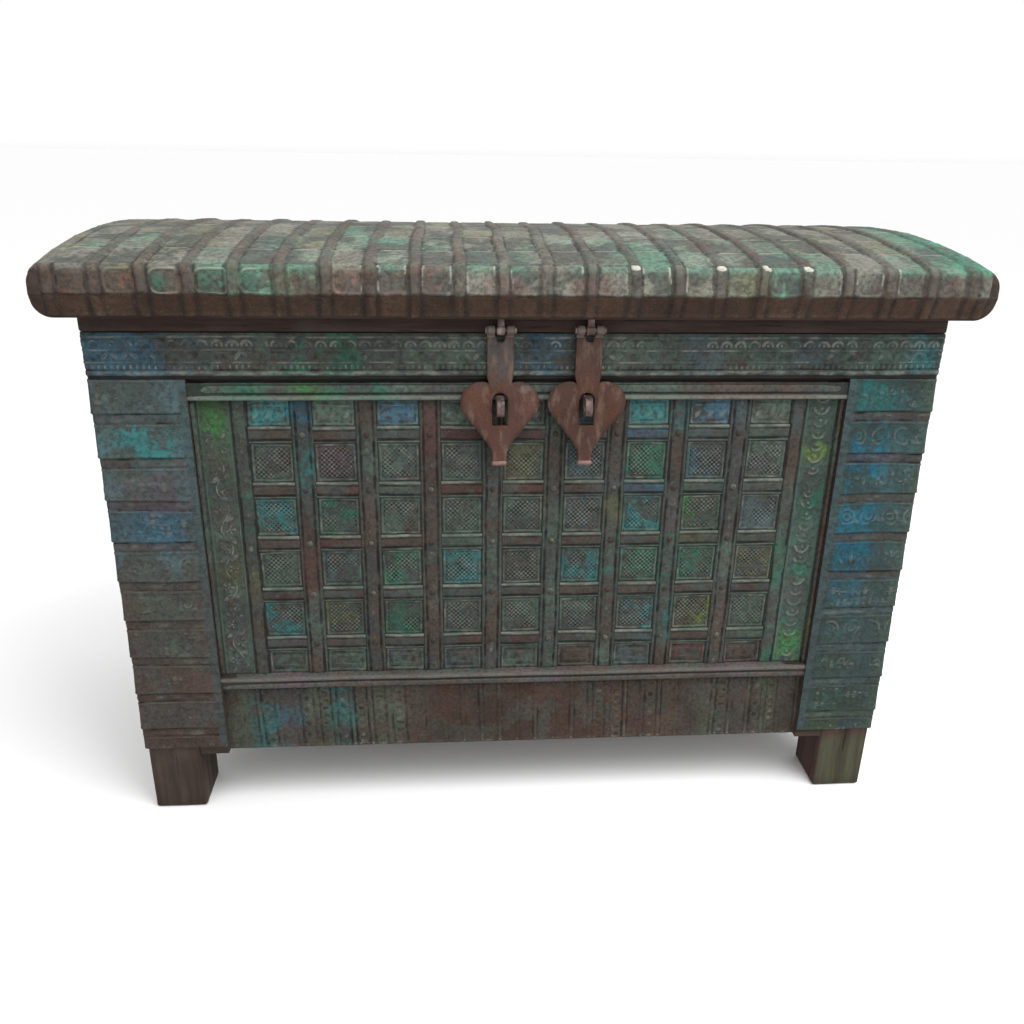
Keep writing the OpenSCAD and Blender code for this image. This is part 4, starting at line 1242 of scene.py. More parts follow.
class Apron(bpy.types.Operator):
    """Upright strips under the panel, patterned and plain by turns"""
    bl_idname = "dowry_chest.apron"
    bl_label = "Apron"

    def execute(self, context):
        low, high = mm_box("apron_sheet")
        x_values = steps_between(low[0], high[0], 1.35)
        z_values = steps_between(low[2], high[2], 1.9)
        grid = facing_grid(x_values, z_values, low[1])
        x, z = np.meshgrid(x_values, z_values)
        pitch = size_mm("apron_pitch")
        lean = x + 0.03 * (z - low[2]) + 6.0 * sway_at(x, z * 0.3, 50, 1401)
        number = np.floor(lean / pitch)
        at = lean - number * pitch - pitch / 2
        patterned = (cell_noise(number, 5, 1403) > 0.45) * (np.abs(x + 30) > 130)
        scale = np.where(cell_noise(number, 7, 1404) > 0.5, 13, 21)
        lift = z + 7 * number
        dots = np.maximum(dome(at, repeat(lift, scale), 6.5, 5.0),
                          0.8 * ring(at, repeat(lift + scale / 2, scale), 6.0, 1.8))
        slats = 0.15 * bead(at + 3, 6)
        line = np.abs(at) - pitch / 2
        clear = 0.25 + 0.75 * cell_noise(np.round(lean / pitch), 9, 1406)
        ridge = 0.75 * bead(line + 0.4, 1.7) * clear
        groove = -0.6 * bead(line + 3.4, 1.8) * clear
        ends = -0.5 * bead(z - high[2] + 5, 2.5) + 0.4 * bead(z - low[2] - 3, 2.4)
        worn = 0.35 + 0.85 * rough_noise(x, z, 34, 1405)
        middle = np.where(patterned, -0.35 + 1.0 * dots, slats) * (line < -4)
        pattern = (middle + ridge + groove) * worn + ends + 0.30 * chased(x, z * 0.5, 9, 1408)
        height = 0.85 * pattern + 1.2 * dents_at(x, z, 48, 1407)
        place = (x - low[0]) / (high[0] - low[0]) * len(APRON_PLAN)
        place = place + 0.5 * dents_at(x, z, 26, 1409)
        paint = weathered(plan_paint(APRON_PLAN, place), x, z, 1411, loss=0.5) * (1.06, 0.87, 0.81)
        mould = Mould()
        mould.sheet(grid, height, paint, relief_value(pattern), 1.4,
                    (0, low[1] + 1.6, (low[2] + high[2]) / 2))
        mould.piece("apron_strips", "carcass", MATERIALS["panel"], ["apron_sheet"])
        return {"FINISHED"}


# ---- The lid's cover ----


def lid_edge_z():
    """Height where the lid's facet turns into its crown."""
    return mm_box("lid_ribs")[1][2] - size_mm("lid_rise")


def lid_section(inset):
    """The lid's outline from its front lower edge over the top to the back, taken in by inset.
    Returns a list of stretches, each a list of points (y, z)."""
    front, bottom = LID_LOW[1] - size_mm("lid_rib_height"), LID_LOW[2]
    back, rise, edge_z = LID_HIGH[1], size_mm("lid_rise"), lid_edge_z()
    half = (back - front) / 2
    radius = (half ** 2 + rise ** 2) / (2 * rise)
    top = radius - inset
    reach = math.asin((half - 13) / radius)
    arc = [((front + back) / 2 + top * math.sin(a), edge_z + rise - radius + top * math.cos(a))
           for a in np.linspace(-reach, reach, 61)]
    knee = bottom + size_mm("lid_knee")
    slope = [(front + size_mm("lid_tuck") + inset * 0.8, bottom + inset), (front + inset, knee)]
    facet = [slope[-1], (front + inset + 1.5, edge_z - 11 - inset * 0.25)]
    corner = np.array((front + inset + 2.0, edge_z + 1.5 - inset * 0.8))
    arris = [tuple(np.array(facet[-1]) * (1 - t) ** 2 + 2 * corner * t * (1 - t)
                   + np.array(arc[0]) * t ** 2) for t in np.linspace(0, 1, 9)]
    rear = [arc[-1], (back - inset, edge_z - 8 - inset * 0.3), (back - inset, bottom + inset)]
    return [slope, facet, arris, arc, rear]


def resampled(points, count):
    """Evenly spaced points along a line of points."""
    points = np.array(points)
    travelled = np.concatenate([[0], np.cumsum(np.linalg.norm(np.diff(points, axis=0), axis=1))])
    at = np.linspace(0, travelled[-1], count)
    return np.stack([np.interp(at, travelled, points[:, k]) for k in range(2)], axis=1)


def lid_grid(stretches, counts, x_values, lower):
    """Points of chosen stretches of the lid's outline along x, rolled in at both ends.
    lower takes the whole surface in, so that the ribs can stand on it."""
    roll = size_mm("lid_roll")
    half = LID_HIGH[0]
    rows = []
    for inset in (lower, roll):
        section = lid_section(inset)
        parts = [resampled(section[k], c) for k, c in zip(stretches, counts)]
        rows.append(np.concatenate([parts[0]] + [p[1:] for p in parts[1:]]))
    past = np.clip((np.abs(x_values) - (half - roll)) / roll, 0, 1)
    share = 1 - np.sqrt(1 - past ** 2)
    grid = np.zeros((len(rows[0]), len(x_values), 3))
    grid[..., 0] = x_values
    for k in (0, 1):
        grid[..., k + 1] = rows[0][:, k:k + 1] * (1 - share) + rows[1][:, k:k + 1] * share
    high = np.clip((grid[..., 2] - LID_LOW[2]) / (LID_HIGH[2] - LID_LOW[2]), 0, 1)
    droop = 0.8
    grid[..., 2] -= droop * high * step(380, half, grid[..., 0])
    return grid


def lid_x_values(spacing):
    """Places along the lid, closer together at the ribs' edges and the rolled ends."""
    half, roll = LID_HIGH[0], size_mm("lid_roll")
    wide = size_mm("lid_rib_width")
    places = list(steps_between(-half + roll, half - roll, spacing))
    for middle in rib_middles():
        places += [middle + s * (wide / 2 + d) for s in (LEFT, RIGHT) for d in (-3, -1.6, 0, 1.2)]
    for angle in np.linspace(0, math.pi / 2, 9)[1:]:
        places += [s * (half - roll + roll * math.sin(angle)) for s in (LEFT, RIGHT)]
    places = np.unique(np.round(np.clip(places, -half, half), 1))
    keep = np.concatenate([[True], np.diff(places) > 0.45])
    keep[-1] = True
    return places[keep]


def rib_middles():
    """x of each rib over the lid."""
    pitch, shift = size_mm("lid_rib_pitch"), size_mm("lid_rib_shift")
    return [shift + k * pitch for k in range(-RIBS_EACH_SIDE, RIBS_EACH_SIDE + 1)]


def rib_height(x):
    """Height of the ribs over the lid, every other one large.
    Also gives each place's offset from its nearest rib, and that rib's number."""
    pitch, shift = size_mm("lid_rib_pitch"), size_mm("lid_rib_shift")
    half = size_mm("lid_rib_width") / 2
    number = np.round((x - shift) / pitch)
    offset = x - shift - number * pitch
    large = np.where(number % 2 == 1, 1.0, 0.62)
    rise = size_mm("lid_rib_height") * large
    flank = step(half, half - 3.4, np.abs(offset))
    crown = 0.72 + 0.28 * bead(offset, half)
    present = (np.abs(number) <= RIBS_EACH_SIDE) * (np.abs(x) < LID_HIGH[0] - 14)
    return rise * flank * crown * present, offset, number


class LidCover(bpy.types.Operator):
    """Embossed metal over the lid: lower slope, front facet, crown, back edge and ends"""
    bl_idname = "dowry_chest.lid_cover"
    bl_label = "Lid cover"

    def execute(self, context):
        self.front_edge()
        self.crown()
        self.back_edge()
        self.end_faces()
        return {"FINISHED"}

    def front_edge(self):
        """The lower slope and the facet with its D-shaped plates."""
        x_values = lid_x_values(2.0)
        grid = lid_grid((0, 1, 2), (20, 20, 14), x_values, 3.0)
        x = grid[..., 0]
        z = grid[..., 2]
        seed = 1601
        join = step(0, 9, grid[-1, :, 1] - grid[..., 1])
        wobble = 4.0 * sway_at(z, x, 30, seed) * join
        ribs, offset, number = rib_height(x + wobble)
        knee = LID_LOW[2] + size_mm("lid_knee")
        top = lid_edge_z() - 3
        ragged = 3.0 * dents_at(x, z * 0, 24, seed + 1)
        on_facet = step(knee - 1.5, knee + 2.5, z + 2 * ragged)
        pitch = size_mm("lid_rib_pitch")
        cell = np.floor((x - size_mm("lid_rib_shift")) / pitch)
        centre = size_mm("lid_rib_shift") + (cell + 0.5) * pitch
        wide = 16.5 + 3 * cell_noise(cell, 2, seed)
        tall = (top - knee) / 2 - 1.5
        plain = 0.25 + 0.75 * np.maximum(cell_noise(cell, 4, seed), step(-290, -330, x))
        u, v = x + wobble - centre, z - (top + knee) / 2
        lean = np.where(u < 0, 11.0, 3.0)
        corner = np.hypot(np.maximum(np.abs(u) - wide + lean, 0),
                          np.maximum(np.abs(v) - tall + lean, 0)) - lean
        frame_ridge = bead(corner, 1.9)
        hollow = step(-1.2, -3.4, corner)
        inner = 0.35 * dome(u, v, wide * 0.8, tall * 0.9)
        framed = step(-290, -330, x) * step(-470, -440, x)
        plates = (frame_ridge * (0.8 + 0.5 * framed) - hollow * 0.35 + inner) * on_facet * plain
        seam = -1.0 * bead(z - knee + ragged, 2.2) * rough_noise(x, z * 0, 40, seed + 2)
        narrow = step(3.5, 1.5, np.abs(np.abs(offset) - 9.0)) * on_facet
        seam = seam - 0.8 * narrow * rough_noise(x, z * 0.3, 30, seed + 4)
        folds = 0.55 * sway_at(x, z * 0.25, 7, seed + 3) * (1 - on_facet)
        worn = 0.4 + 0.8 * rough_noise(x, z, 26, seed + 5)
        pattern = plates * worn + seam + folds
        height = ribs * (0.45 + 0.55 * on_facet)
        height = height + join * (pattern + 2.4 * dents_at(x, z, 28, seed + 7))
        edge_curl = 0.9 * bead(z - LID_LOW[2] - 3, 3.2)
        height = np.minimum(height + edge_curl - 0.5 * join, size_mm("lid_rib_height") - 0.1)
        paint = self.slope_paint(x, z, offset, cell, seed)
        facet = self.facet_paint(x, z, corner, framed, top, seed)
        paint = self.rib_paint(mixed(paint, facet, on_facet), offset, number, on_facet)
        # Painted highlights: pale streaks and spots on the facet, which also lift the relief value
        painted_glint = self.painted_glints(x, z, offset, number, knee, top, seed)
        paint = mixed(paint, tone("pale") * 1.3, painted_glint * on_facet)
        shown = relief_value(pattern + 0.2 * ribs * on_facet, 1.2)
        mould = Mould()
        mould.sheet(grid, height, paint, np.clip(shown + 0.35 * painted_glint, 0, 1), 1.8,
                    (0, LID_LOW[1] + 24, LID_LOW[2] + 26))
        mould.piece("lid_front_edge", "lid", MATERIALS["lid"], ["lid_sheet", "lid_ribs"])

    def slope_paint(self, x, z, offset, cell, seed):
        """Brown metal under the facet, with painted shadow in the folds beside the ribs."""
        place = (x + LID_HIGH[0]) / (2 * LID_HIGH[0]) * len(SLOPE_PLAN)
        slope = plan_paint(SLOPE_PLAN, place + 0.5 * dents_at(x, z, 18, seed + 9))
        slope = weathered(slope, x, z, seed + 13, bare="earth", loss=0.5, under="earth")
        fold_shadow = step(3, 7, np.abs(offset)) * step(15, 9, np.abs(offset))
        fold_shadow = fold_shadow * rough_noise(x, z, 20, seed + 31)
        # Random tone for each cell, and painted shadow in the folds beside the ribs
        shade = (0.78 + 0.5 * cell_noise(cell, 33, seed)) * (1 - fold_shadow)
        return slope * (1.3, 1.07, 0.9) * shade[..., None]

    def facet_paint(self, x, z, corner, framed, top, seed):
        """Each plate's own colour, green in the framed ones, and the crown's along the top."""
        place = (x + LID_HIGH[0]) / (2 * LID_HIGH[0]) * len(FACET_PLAN)
        blur = dents_at(x, z, 18, seed + 9)
        facet = plan_paint(FACET_PLAN, place + 0.35 * blur)
        facet = weathered(facet, x, z, seed + 11, bare="umber", loss=0.45, size=24)
        warm = step(-60, -300, x)[..., None] * (1 - framed)[..., None]
        brighter = 1.08 + 0.52 * dome(x + 20, 0, 400, 1)
        facet = facet * brighter[..., None] * (1 + warm * (0.5, 0.15, 0.05))
        facet = mixed(facet, tone("lid_green") * 0.9, 0.7 * framed * step(-2, -5, corner))
        greener = step(top - 12, top + 5, z + 4 * blur) * 0.9
        return mixed(facet, plan_paint(CROWN_PLANS[0], place), greener)

    def rib_paint(self, paint, offset, number, on_facet):
        """Shadows beside the facet's ribs, and worn paint on them."""
        shadow = step(4, 6, np.abs(offset)) * step(12, 9, np.abs(offset)) * on_facet
        paint = mixed(paint, tone("umber") * 0.55, 0.6 * shadow)
        on_rib = step(7.0, 5.0, np.abs(offset)) * on_facet
        return mixed(paint, plan_paint(LID_RIB_PLAN, number + RIBS_EACH_SIDE) * 0.8, 0.6 * on_rib)

    def painted_glints(self, x, z, offset, number, knee, top, seed):
        """Painted highlights on the facet: streaks beside ribs and spots under the crown."""
        blur = dents_at(x, z, 18, seed + 9)
        streak = (step(0.45, 0.62, cell_noise(number, 21, seed) + 0.5 * blur)
                  * step(-280, -180, x) * bead(np.abs(offset) - 10.5, 1.2)
                  * step(0.30, 0.55, rough_noise(x, z, 12, seed + 21)) * step(knee + 2, knee + 8, z))
        spot = (dome(offset - 4 * cell_noise(number, 23, seed), z - top - 1.5, 6.5, 2.8)
                * step(0.45, 0.55, cell_noise(number, 25, seed)) * step(60, 120, x))
        return np.maximum(0.75 * streak, step(0.2, 0.7, spot))

    def crown(self):
        """The top, with ribs from front to back, overlapped sheets and shallow plates."""
        x_values = lid_x_values(4.2)
        grid = lid_grid((3,), (132,), x_values, 3.0)
        x, y = grid[..., 0], grid[..., 1]
        seed = 1701
        back = y - y.min()
        join = step(0, 14, back)
        wobble = 5.0 * sway_at(y, x * 0.3, 80, seed) * join
        ribs, offset, number = rib_height(x + wobble)
        drift = 5 * sway_at(x, y * 0, 140, seed + 1)
        seams = (62, 138, 226, 322, 424, 545)
        row = np.zeros_like(back)
        lap = np.zeros_like(back)
        row_start = np.zeros_like(back)
        for s in seams:
            passed = back + drift > s
            row = row + passed
            row_start = np.where(passed, s, row_start)
            lap = lap + 0.9 * bead(back + drift - s + 1.5, 3.2) - 1.1 * bead(back + drift - s - 2.2, 1.8)
        row_end = np.choose(np.clip(row, 0, len(seams) - 1).astype(int), seams)
        pitch = size_mm("lid_rib_pitch")
        cell = np.floor((x + wobble - size_mm("lid_rib_shift")) / pitch)
        u = x + wobble - (size_mm("lid_rib_shift") + (cell + 0.5) * pitch)
        v = back + drift - (row_start + row_end) / 2
        inset = np.minimum(18.5 - np.abs(u), (row_end - row_start) / 2 - 5 - np.abs(v))
        plate = 0.55 * bead(inset - 1.2, 1.8) + 0.18 * step(2, 5, inset)
        between = step(5.5, 8.5, np.abs(offset))
        dents = 2.0 * dents_at(x, y, 46, seed + 5)
        hammered = 0.5 * sway_at(x, y, 11, seed + 7)
        worn = 0.35 + 0.8 * rough_noise(x, y, 34, seed + 9)
        pattern = (1.3 * plate * between * worn + lap * (0.4 + 0.6 * between)
                   - 1.1 * bead(np.abs(offset) - 8.6, 2.2) * (0.2 + rough_noise(x, y, 40, seed + 21)))
        height = ribs + join * (pattern + 0.6 * dents + hammered)
        height = np.minimum(height, size_mm("lid_rib_height") - 0.1)
        on_rib = step(8.5, 6.0, np.abs(offset)) * (ribs > 0.05)
        paint = self.crown_paint(x, y, row, number, on_rib, seed)
        mould = Mould()
        mould.sheet(grid, height, paint, relief_value(pattern + 0.1 * ribs), 1.8)
        mould.piece("lid_crown_cover", "lid", MATERIALS["lid"], ["lid_sheet", "lid_ribs"])

    def crown_paint(self, x, y, row, number, on_rib, seed):
        """Dusty greens and greys by rows of plates, browner ribs and a green right end."""
        place = (x + LID_HIGH[0]) / (2 * LID_HIGH[0]) * len(CROWN_PLANS[0])
        blur = dents_at(x, y, 30, seed + 11)
        paint = 0
        for k, plan in enumerate(CROWN_PLANS):
            chosen = np.clip(row, 0, len(CROWN_PLANS) - 1) == k
            paint = paint + plan_paint(plan, place + 0.4 * blur) * chosen[..., None]
        dusty = step(0.36, 0.60, rough_noise(x, y, 60, seed + 13)) * 0.7
        paint = mixed(paint, tone("dust"), dusty)
        paint = weathered(paint, x, y, seed + 15, bare="umber", loss=0.34, size=34)
        rib_paint = plan_paint(LID_RIB_PLAN, number + RIBS_EACH_SIDE)
        rib_paint = weathered(rib_paint * 0.85, x, y, seed + 17, bare="umber", loss=0.4)
        paint = mixed(paint, rib_paint, on_rib * 0.75)
        right_end = step(505, 560, x) * step(0.30, 0.48, rough_noise(x, y, 40, seed + 19))
        paint = mixed(paint, tone("verdigris"), right_end * 0.4)
        return paint * (1.18 + 0.06 * dome(x, 0, 200, 1) - 0.20 * step(100, 350, x))[..., None]

    def back_edge(self):
        """The plain strip down the back."""
        x_values = lid_x_values(6)
        grid = lid_grid((4,), (22,), x_values, 3.0)
        grid[..., 1] = np.minimum(grid[..., 1] + 1.0, LID_HIGH[1])
        x, z = grid[..., 0], grid[..., 2]
        ribs = rib_height(x)[0]
        fade = step(LID_LOW[2] + 50, LID_LOW[2] + 60, z)
        dents = dents_at(x, z, 30, 1803)
        paint = weathered(tone("umber") * 0.8, x, z, 1805, bare="earth", loss=0.5)
        mould = Mould()
        mould.sheet(grid, ribs * fade * 0.5 + 0.8 * dents - 0.8, paint, 0.5 + 0.4 * dents, 1.5,
                    (0, LID_HIGH[1] - 18, LID_LOW[2] + 24))
        mould.piece("lid_back_edge", "lid", MATERIALS["lid"], ["lid_sheet"])

    def end_faces(self):
        """The flat middle of each rolled end."""
        roll = size_mm("lid_roll")
        face_x, thick = LID_HIGH[0] - 0.7, 4.0
        outline = np.concatenate([resampled(part, count)[:-1] for part, count in
                                  zip(lid_section(roll), (8, 8, 4, 70, 14))])
        centre = outline.mean(axis=0)
        for side, name in ((LEFT, "left"), (RIGHT, "right")):
            mould = Mould()
            rings = np.linspace(0.04, 1.0, 12)
            flat = centre + (outline - centre) * rings[:, None, None]
            loops = np.zeros(flat.shape[:2] + (3,))
            loops[..., 1:] = flat
            dents = dents_at(loops[..., 1], loops[..., 2], 26, 1901 + side)
            loops[..., 0] = side * (face_x + 1.1 * dents * step(1.0, 0.8, rings)[:, None])
            paint = weathered(tone("charcoal") * 0.8, loops[..., 1], loops[..., 2], 1905,
                              bare="earth", loss=0.5)
            face = mould.add(loops, paint, 0.5 + 0.5 * dents)
            inner = loops[-1] - (side * thick, 0, 0)
            under = mould.add(inner, paint[-1] * 0.5, 0.3)
            hub = (side * face_x, *centre)
            back_hub = (side * (face_x - thick), *centre)
            turned = [face[k] if side > 0 else face[k][::-1] for k in range(len(rings))]
            behind = under if side > 0 else under[::-1]
            for smaller, larger in zip(turned, turned[1:]):
                mould.strip(smaller, larger)
            mould.strip(turned[-1], behind)
            mould.fan(turned[0], hub)
            mould.fan(behind[::-1], back_hub)
            mould.piece(f"lid_end_face_{name}", "lid", MATERIALS["lid"], ["lid_sheet"])


# ---- Ironwork ----


def heart_outline(count, neck, lobe, lobe_x, lobe_drop, tip_drop, tip_half, top):
    """Points round a hasp from the middle of its neck's top, clockwise, about the pin."""
    shoulder = lobe_drop - lobe * 1.02
    side = [(0, top - 9), (4.6, top - 9), (5.6, top), (neck, top), (neck, -shoulder + 6)]
    for angle in np.linspace(math.radians(112), math.radians(-34), 26):
        side.append((lobe_x + lobe * math.cos(angle), -lobe_drop + lobe * math.sin(angle)))
    side += [(tip_half + 8, -tip_drop + 16), (tip_half + 1.5, -tip_drop + 3),
             (tip_half, -tip_drop - 6), (tip_half, -tip_drop - 14), (0, -tip_drop - 14)]
    half = resampled(side, count // 2 + 1)
    other = half[::-1] * (-1, 1)
    return np.concatenate([half[:-1], other[:-1]])


def slot_outline(outline, slot_half, slot_tall, drop):
    """A slot with a round top, with one point for each point of the outline."""
    around = np.arctan2(outline[:, 0], outline[:, 1] + drop)
    points = []
    for angle in around:
        sx, sy = math.sin(angle), math.cos(angle)
        reach = min(slot_half / max(abs(sx), 1e-6), slot_tall / max(abs(sy), 1e-6))
        x, y = sx * reach, sy * reach
        if y > slot_tall - slot_half:
            y = slot_tall - slot_half + math.sqrt(max(slot_half ** 2 - x ** 2, 0))
        points.append((x, y - drop))
    return np.array(points)


class Hasps(bpy.types.Operator):
    """The two heart-shaped hasps, domed, dented and rusty, with their curled tabs"""
    bl_idname = "dowry_chest.hasps"
    bl_label = "Hasps"

    def execute(self, context):
        for name, seed in (("left", 2001), ("right", 2101)):
            self.heart(name, seed)
        for node in ("hasp_pin_left", "hasp_pin_right", "lid_eyes", "padlock_eye_left",
                     "padlock_eye_right"):
            finish_node(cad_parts[node], "rubbed_iron")
        for node in ("hinge_body_leaves", "hinge_lid_leaves", "hinge_pins"):
            finish_node(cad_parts[node], "iron")
        return {"FINISHED"}

    def heart(self, name, seed):
        """One hasp: a ring of metal between the heart's outline and the slot, front and back."""
        low, high = mm_box(f"hasp_plate_{name}")
        pin_low, pin_high = mm_box(f"hasp_pin_{name}")
        middle = (low[0] + high[0]) / 2
        pin_y, pin_z = (pin_low[1] + pin_high[1]) / 2, (pin_low[2] + pin_high[2]) / 2
        knuckle, thick = 6.0, 3.0
        back_y = pin_y + knuckle
        outline = heart_outline(count=170, neck=17.0, lobe=27.0, lobe_x=24.0, lobe_drop=94.0,
                                tip_drop=163.0, tip_half=9.0, top=-knuckle - 1)
        slot = slot_outline(outline, slot_half=10.0, slot_tall=22.0, drop=103.0)
        share = np.array([0, 0.03, 0.09, 0.18, 0.3, 0.42, 0.55, 0.68, 0.8, 0.89, 0.95, 0.985, 1.0])
        flat = slot + (outline - slot) * share[:, None, None]
        to_slot = np.linalg.norm(flat - slot, axis=2)
        to_edge = np.linalg.norm(flat - outline, axis=2)
        round_edge = -0.95 * (1 - step(0, 2.6, to_edge)) - 0.5 * (1 - step(0, 1.6, to_slot))
        x, z = flat[..., 0], flat[..., 1]
        dome_up = 1.1 * np.clip(1 - (np.abs(z + 105) / 70) ** 2, 0, 1) * step(0, 20, to_edge)
        dents = 1.1 * dents_at(x, z, 22, seed)
        front = thick + round_edge + 0.7 * dome_up + dents * step(0, 6, to_edge)
        lip = 1.0 * step(-168, -177, z) ** 2
        paint = self.rust(name, x, z, to_edge, seed)
        mould = Mould()
        faces = {}
        for part, out in (("front", front), ("back", np.clip(round_edge * -0.2, 0, 1))):
            loops = np.zeros(flat.shape[:2] + (3,))
            loops[..., 0] = middle + x
            loops[..., 1] = back_y - out - lip
            loops[..., 2] = pin_z + z
            faces[part] = mould.add(loops, paint, 0.5)
        for inner, outer in zip(faces["front"], faces["front"][1:]):
            mould.strip(outer, inner)
        for inner, outer in zip(faces["back"], faces["back"][1:]):
            mould.strip(inner, outer)
        mould.strip(faces["back"][-1], faces["front"][-1])
        mould.strip(faces["front"][0], faces["back"][0])
        self.knuckles(mould, middle, pin_y, pin_z, knuckle, to_linear((0.47, 0.42, 0.40)))
        self.tab(mould, middle, back_y - thick / 2 - 1.0, pin_z - 176)
        mould.piece(f"hasp_heart_{name}", f"hasp_{name}", MATERIALS["hasp"],
                    [f"hasp_plate_{name}"])

    def rust(self, name, x, z, to_edge, seed):
        """Red-brown with orange patches, grey up the neck and dark towards the edges."""
        orange = step(0.42, 0.62, rough_noise(x, z, 26, seed + 3))
        paint = mixed(to_linear((0.385, 0.262, 0.22)), to_linear((0.43, 0.275, 0.19)), 0.55 * orange)
        grey = step(-80, -50, z) if name == "left" else 0.35 * step(-60, -30, z)
        paint = mixed(paint, to_linear((0.35, 0.325, 0.315)), grey)
        mottle = 0.62 + 0.72 * rough_noise(x, z * 0.7, 16, seed + 1)
        brightness = 0.90 if name == "left" else 0.62
        paint = paint * (mottle * (0.50 + 0.50 * step(0, 8, to_edge)) * brightness)[..., None]
        if name == "left":
            # A pale spot painted on the left heart's upper right lobe
            rubbed = step(0, 0.5, dome(x - 33, z + 76, 7, 5))
            paint = mixed(paint, tone("pale") * 0.6, 0.6 * rubbed)
        return paint

    def knuckles(self, mould, middle, pin_y, pin_z, radius, paint):
        """Two short rolled barrels round the pin, that run down into the neck."""
        turns = np.linspace(0, 2 * math.pi, 24, endpoint=False)
        for side in (LEFT, RIGHT):
            places = middle + side * np.array([7.3, 7.9, 10, 14, 16.2, 17.0])
            radii = radius - np.array([0.9, 0.2, 0, 0.0, 0.25, 1.0])
            loops = np.zeros((len(places), len(turns), 3))
            loops[..., 0] = places[:, None]
            loops[..., 1] = pin_y + radii[:, None] * np.cos(turns)
            loops[..., 2] = pin_z + radii[:, None] * np.sin(turns)
            ends = [(place, pin_y, pin_z) for place in (places[0], places[-1])]
            mould.barrel(loops, paint, 0.5, ends, turned=side < 0)
            x0, x1 = sorted((places[0], places[-1]))
            y0, y1, z0, z1 = pin_y + radius - 3.0, pin_y + radius, pin_z - radius - 4, pin_z
            corners = np.array([[x, y, z] for z in (z0, z1) for y in (y0, y1) for x in (x0, x1)])
            c = mould.add(corners, paint, 0.5)
            walls = ((0, 1, 5, 4), (3, 2, 6, 7), (2, 0, 4, 6), (1, 3, 7, 5), (0, 2, 3, 1), (4, 5, 7, 6))
            for wall in walls:
                mould.quads.append(c[list(wall)].reshape(1, 4))

    def tab(self, mould, middle, y, z):
        """The tip rolled outwards into a small barrel."""
        turns = np.linspace(0, 2 * math.pi, 20, endpoint=False)
        places = middle + np.array([-9.4, -8.8, -4, 0, 4, 8.8, 9.4])
        radii = np.array([2.2, 2.9, 3.1, 3.0, 3.1, 2.9, 2.2])
        loops = np.zeros((len(places), len(turns), 3))
        loops[..., 0] = places[:, None]
        loops[..., 1] = y - 1.2 + radii[:, None] * np.cos(turns)
        loops[..., 2] = z + radii[:, None] * np.sin(turns)
        ends = [(place, y - 1.2, z) for place in (places[0], places[-1])]
        mould.barrel(loops, to_linear((0.6, 0.48, 0.45)), 0.8, ends)


# ---- Stage ----


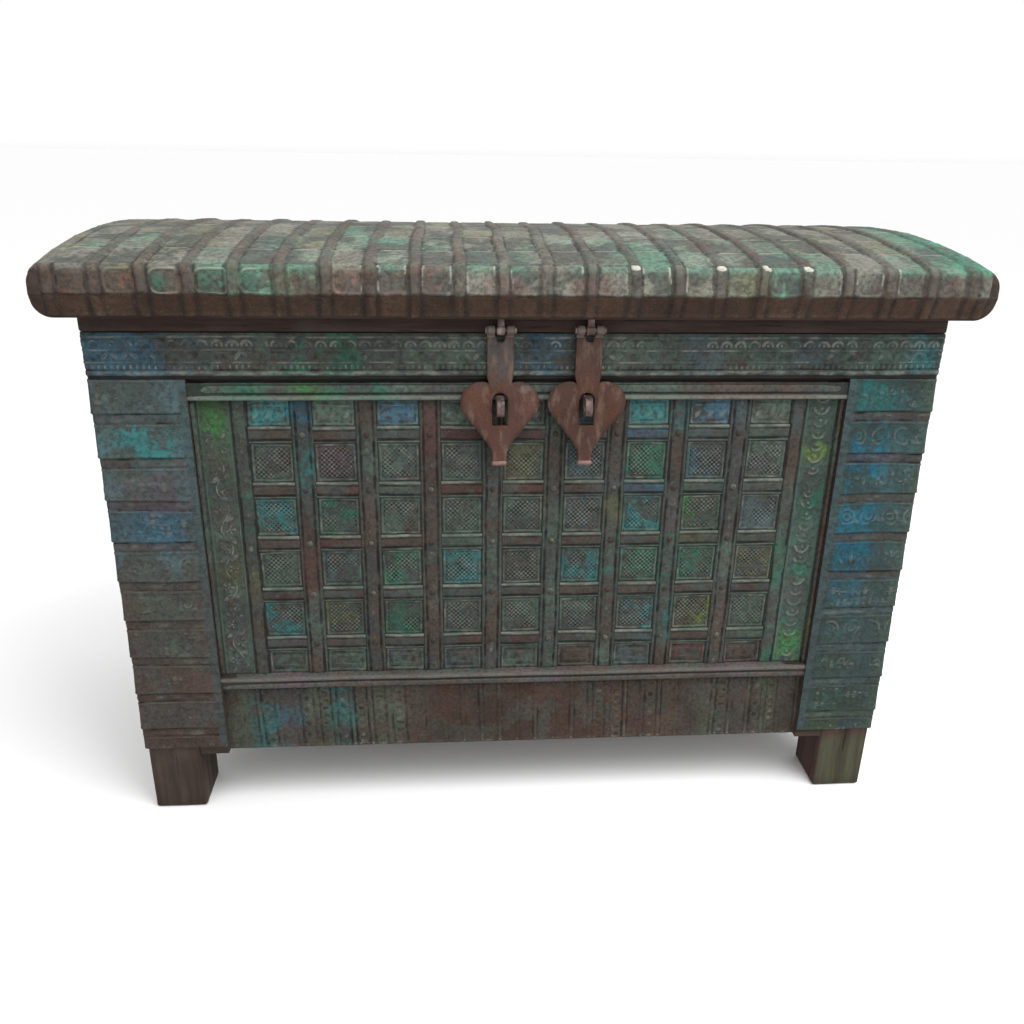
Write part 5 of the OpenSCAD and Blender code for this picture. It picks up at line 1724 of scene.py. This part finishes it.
class ChestStaging(bpy.types.Operator):
    """A plain pale floor, soft lamps and the camera"""
    bl_idname = "dowry_chest.stage"
    bl_label = "Floor, lamps and camera"

    def execute(self, context):
        stage = context.scene.chest_stage
        self.floor()
        self.sky(stage.sky, stage.ground)
        self.lamp("overhead_softbox", (1.1, -1.0, 2.6), 2.0, stage.key)
        self.lamp("front_softbox", (1.6, -3.2, 1.5), 2.2, stage.fill)
        camera = bpy.data.cameras.new("camera")
        camera.lens = stage.lens
        camera.sensor_width = 36
        eye = bpy.data.objects.new("camera", camera)
        context.scene.collection.objects.link(eye)
        eye.matrix_world = (Matrix.Translation(stage.eye)
                            @ Matrix.Rotation(-stage.turn, 4, "Z")
                            @ Matrix.Rotation(math.pi / 2 - stage.down, 4, "X")
                            @ Matrix.Rotation(stage.roll, 4, "Z"))
        context.scene.camera = eye
        context.scene.view_settings.view_transform = "Standard"
        return {"FINISHED"}

    def floor(self):
        """A wide plain floor."""
        n = Nodes("pale_floor")
        n.set(Base_Color=(0.985, 0.985, 0.985, 1), Roughness=0.9, Specular_IOR_Level=0.1)
        mesh = bpy.data.meshes.new("floor")
        reach = 130.0
        mesh.from_pydata([(-reach, -reach, 0), (reach, -reach, 0), (reach, reach, 0),
                          (-reach, reach, 0)], [], [(0, 1, 2, 3)])
        mesh.materials.append(n.material)
        floor = bpy.data.objects.new("floor", mesh)
        bpy.context.collection.objects.link(floor)
        floor.visible_diffuse = False

    def sky(self, above, below):
        """A white dome, dimmer below the horizon."""
        world = bpy.data.worlds.new("studio")
        world.use_nodes = True
        tree = world.node_tree
        place = tree.nodes.new("ShaderNodeTexCoord")
        split = tree.nodes.new("ShaderNodeSeparateXYZ")
        fade = tree.nodes.new("ShaderNodeMapRange")
        for key, number in (("From Min", -0.12), ("From Max", 0.0), ("To Min", below),
                            ("To Max", above)):
            fade.inputs[key].default_value = number
        background = tree.nodes["Background"]
        background.inputs["Color"].default_value = (1, 1, 1, 1)
        tree.links.new(place.outputs["Generated"], split.inputs["Vector"])
        tree.links.new(split.outputs["Z"], fade.inputs["Value"])
        tree.links.new(fade.outputs["Result"], background.inputs["Strength"])
        bpy.context.scene.world = world

    def lamp(self, name, place, size, power):
        """A square lamp that faces the chest."""
        light = bpy.data.lights.new(name, "AREA")
        light.size = size
        light.energy = power
        lamp = bpy.data.objects.new(name, light)
        bpy.context.scene.collection.objects.link(lamp)
        lamp.location = place
        lamp.rotation_euler = (Vector((0, 0, 0.45)) - Vector(place)).to_track_quat(
            "-Z", "Y").to_euler()


# ---- Add-on ----


class ChestPanel(bpy.types.Panel):
    """Lists the chest's makers and settings"""
    bl_idname = "VIEW3D_PT_dowry_chest"
    bl_label = "Dowry chest"
    bl_space_type = "VIEW_3D"
    bl_region_type = "UI"
    bl_category = "Chest"

    def draw(self, context):
        for maker in MAKERS:
            self.layout.operator(maker.bl_idname)
        for group in (context.scene.chest_sizes, context.scene.chest_paints,
                      context.scene.chest_stage):
            for name in group.__annotations__:
                self.layout.prop(group, name)


GROUPS = (ChestPaints, ChestSizes, ChestStage)
MAKERS = (TimberFrame, PostPlates, TopBand, PanelSquares, PanelStrips, LeafBorders, Apron,
          LidCover, Hasps, ChestStaging)


def register():
    for cls in GROUPS + MAKERS + (ChestPanel,):
        bpy.utils.register_class(cls)
    bpy.types.Scene.chest_paints = PointerProperty(type=ChestPaints)
    bpy.types.Scene.chest_sizes = PointerProperty(type=ChestSizes)
    bpy.types.Scene.chest_stage = PointerProperty(type=ChestStage)


def unregister():
    del bpy.types.Scene.chest_stage, bpy.types.Scene.chest_sizes, bpy.types.Scene.chest_paints
    for cls in reversed(GROUPS + MAKERS + (ChestPanel,)):
        bpy.utils.unregister_class(cls)


def main():
    """Makes the chest."""
    register()
    make_materials()
    for maker in MAKERS:
        module, name = maker.bl_idname.split(".")
        getattr(getattr(bpy.ops, module), name)()


if __name__ == "__main__":
    main()
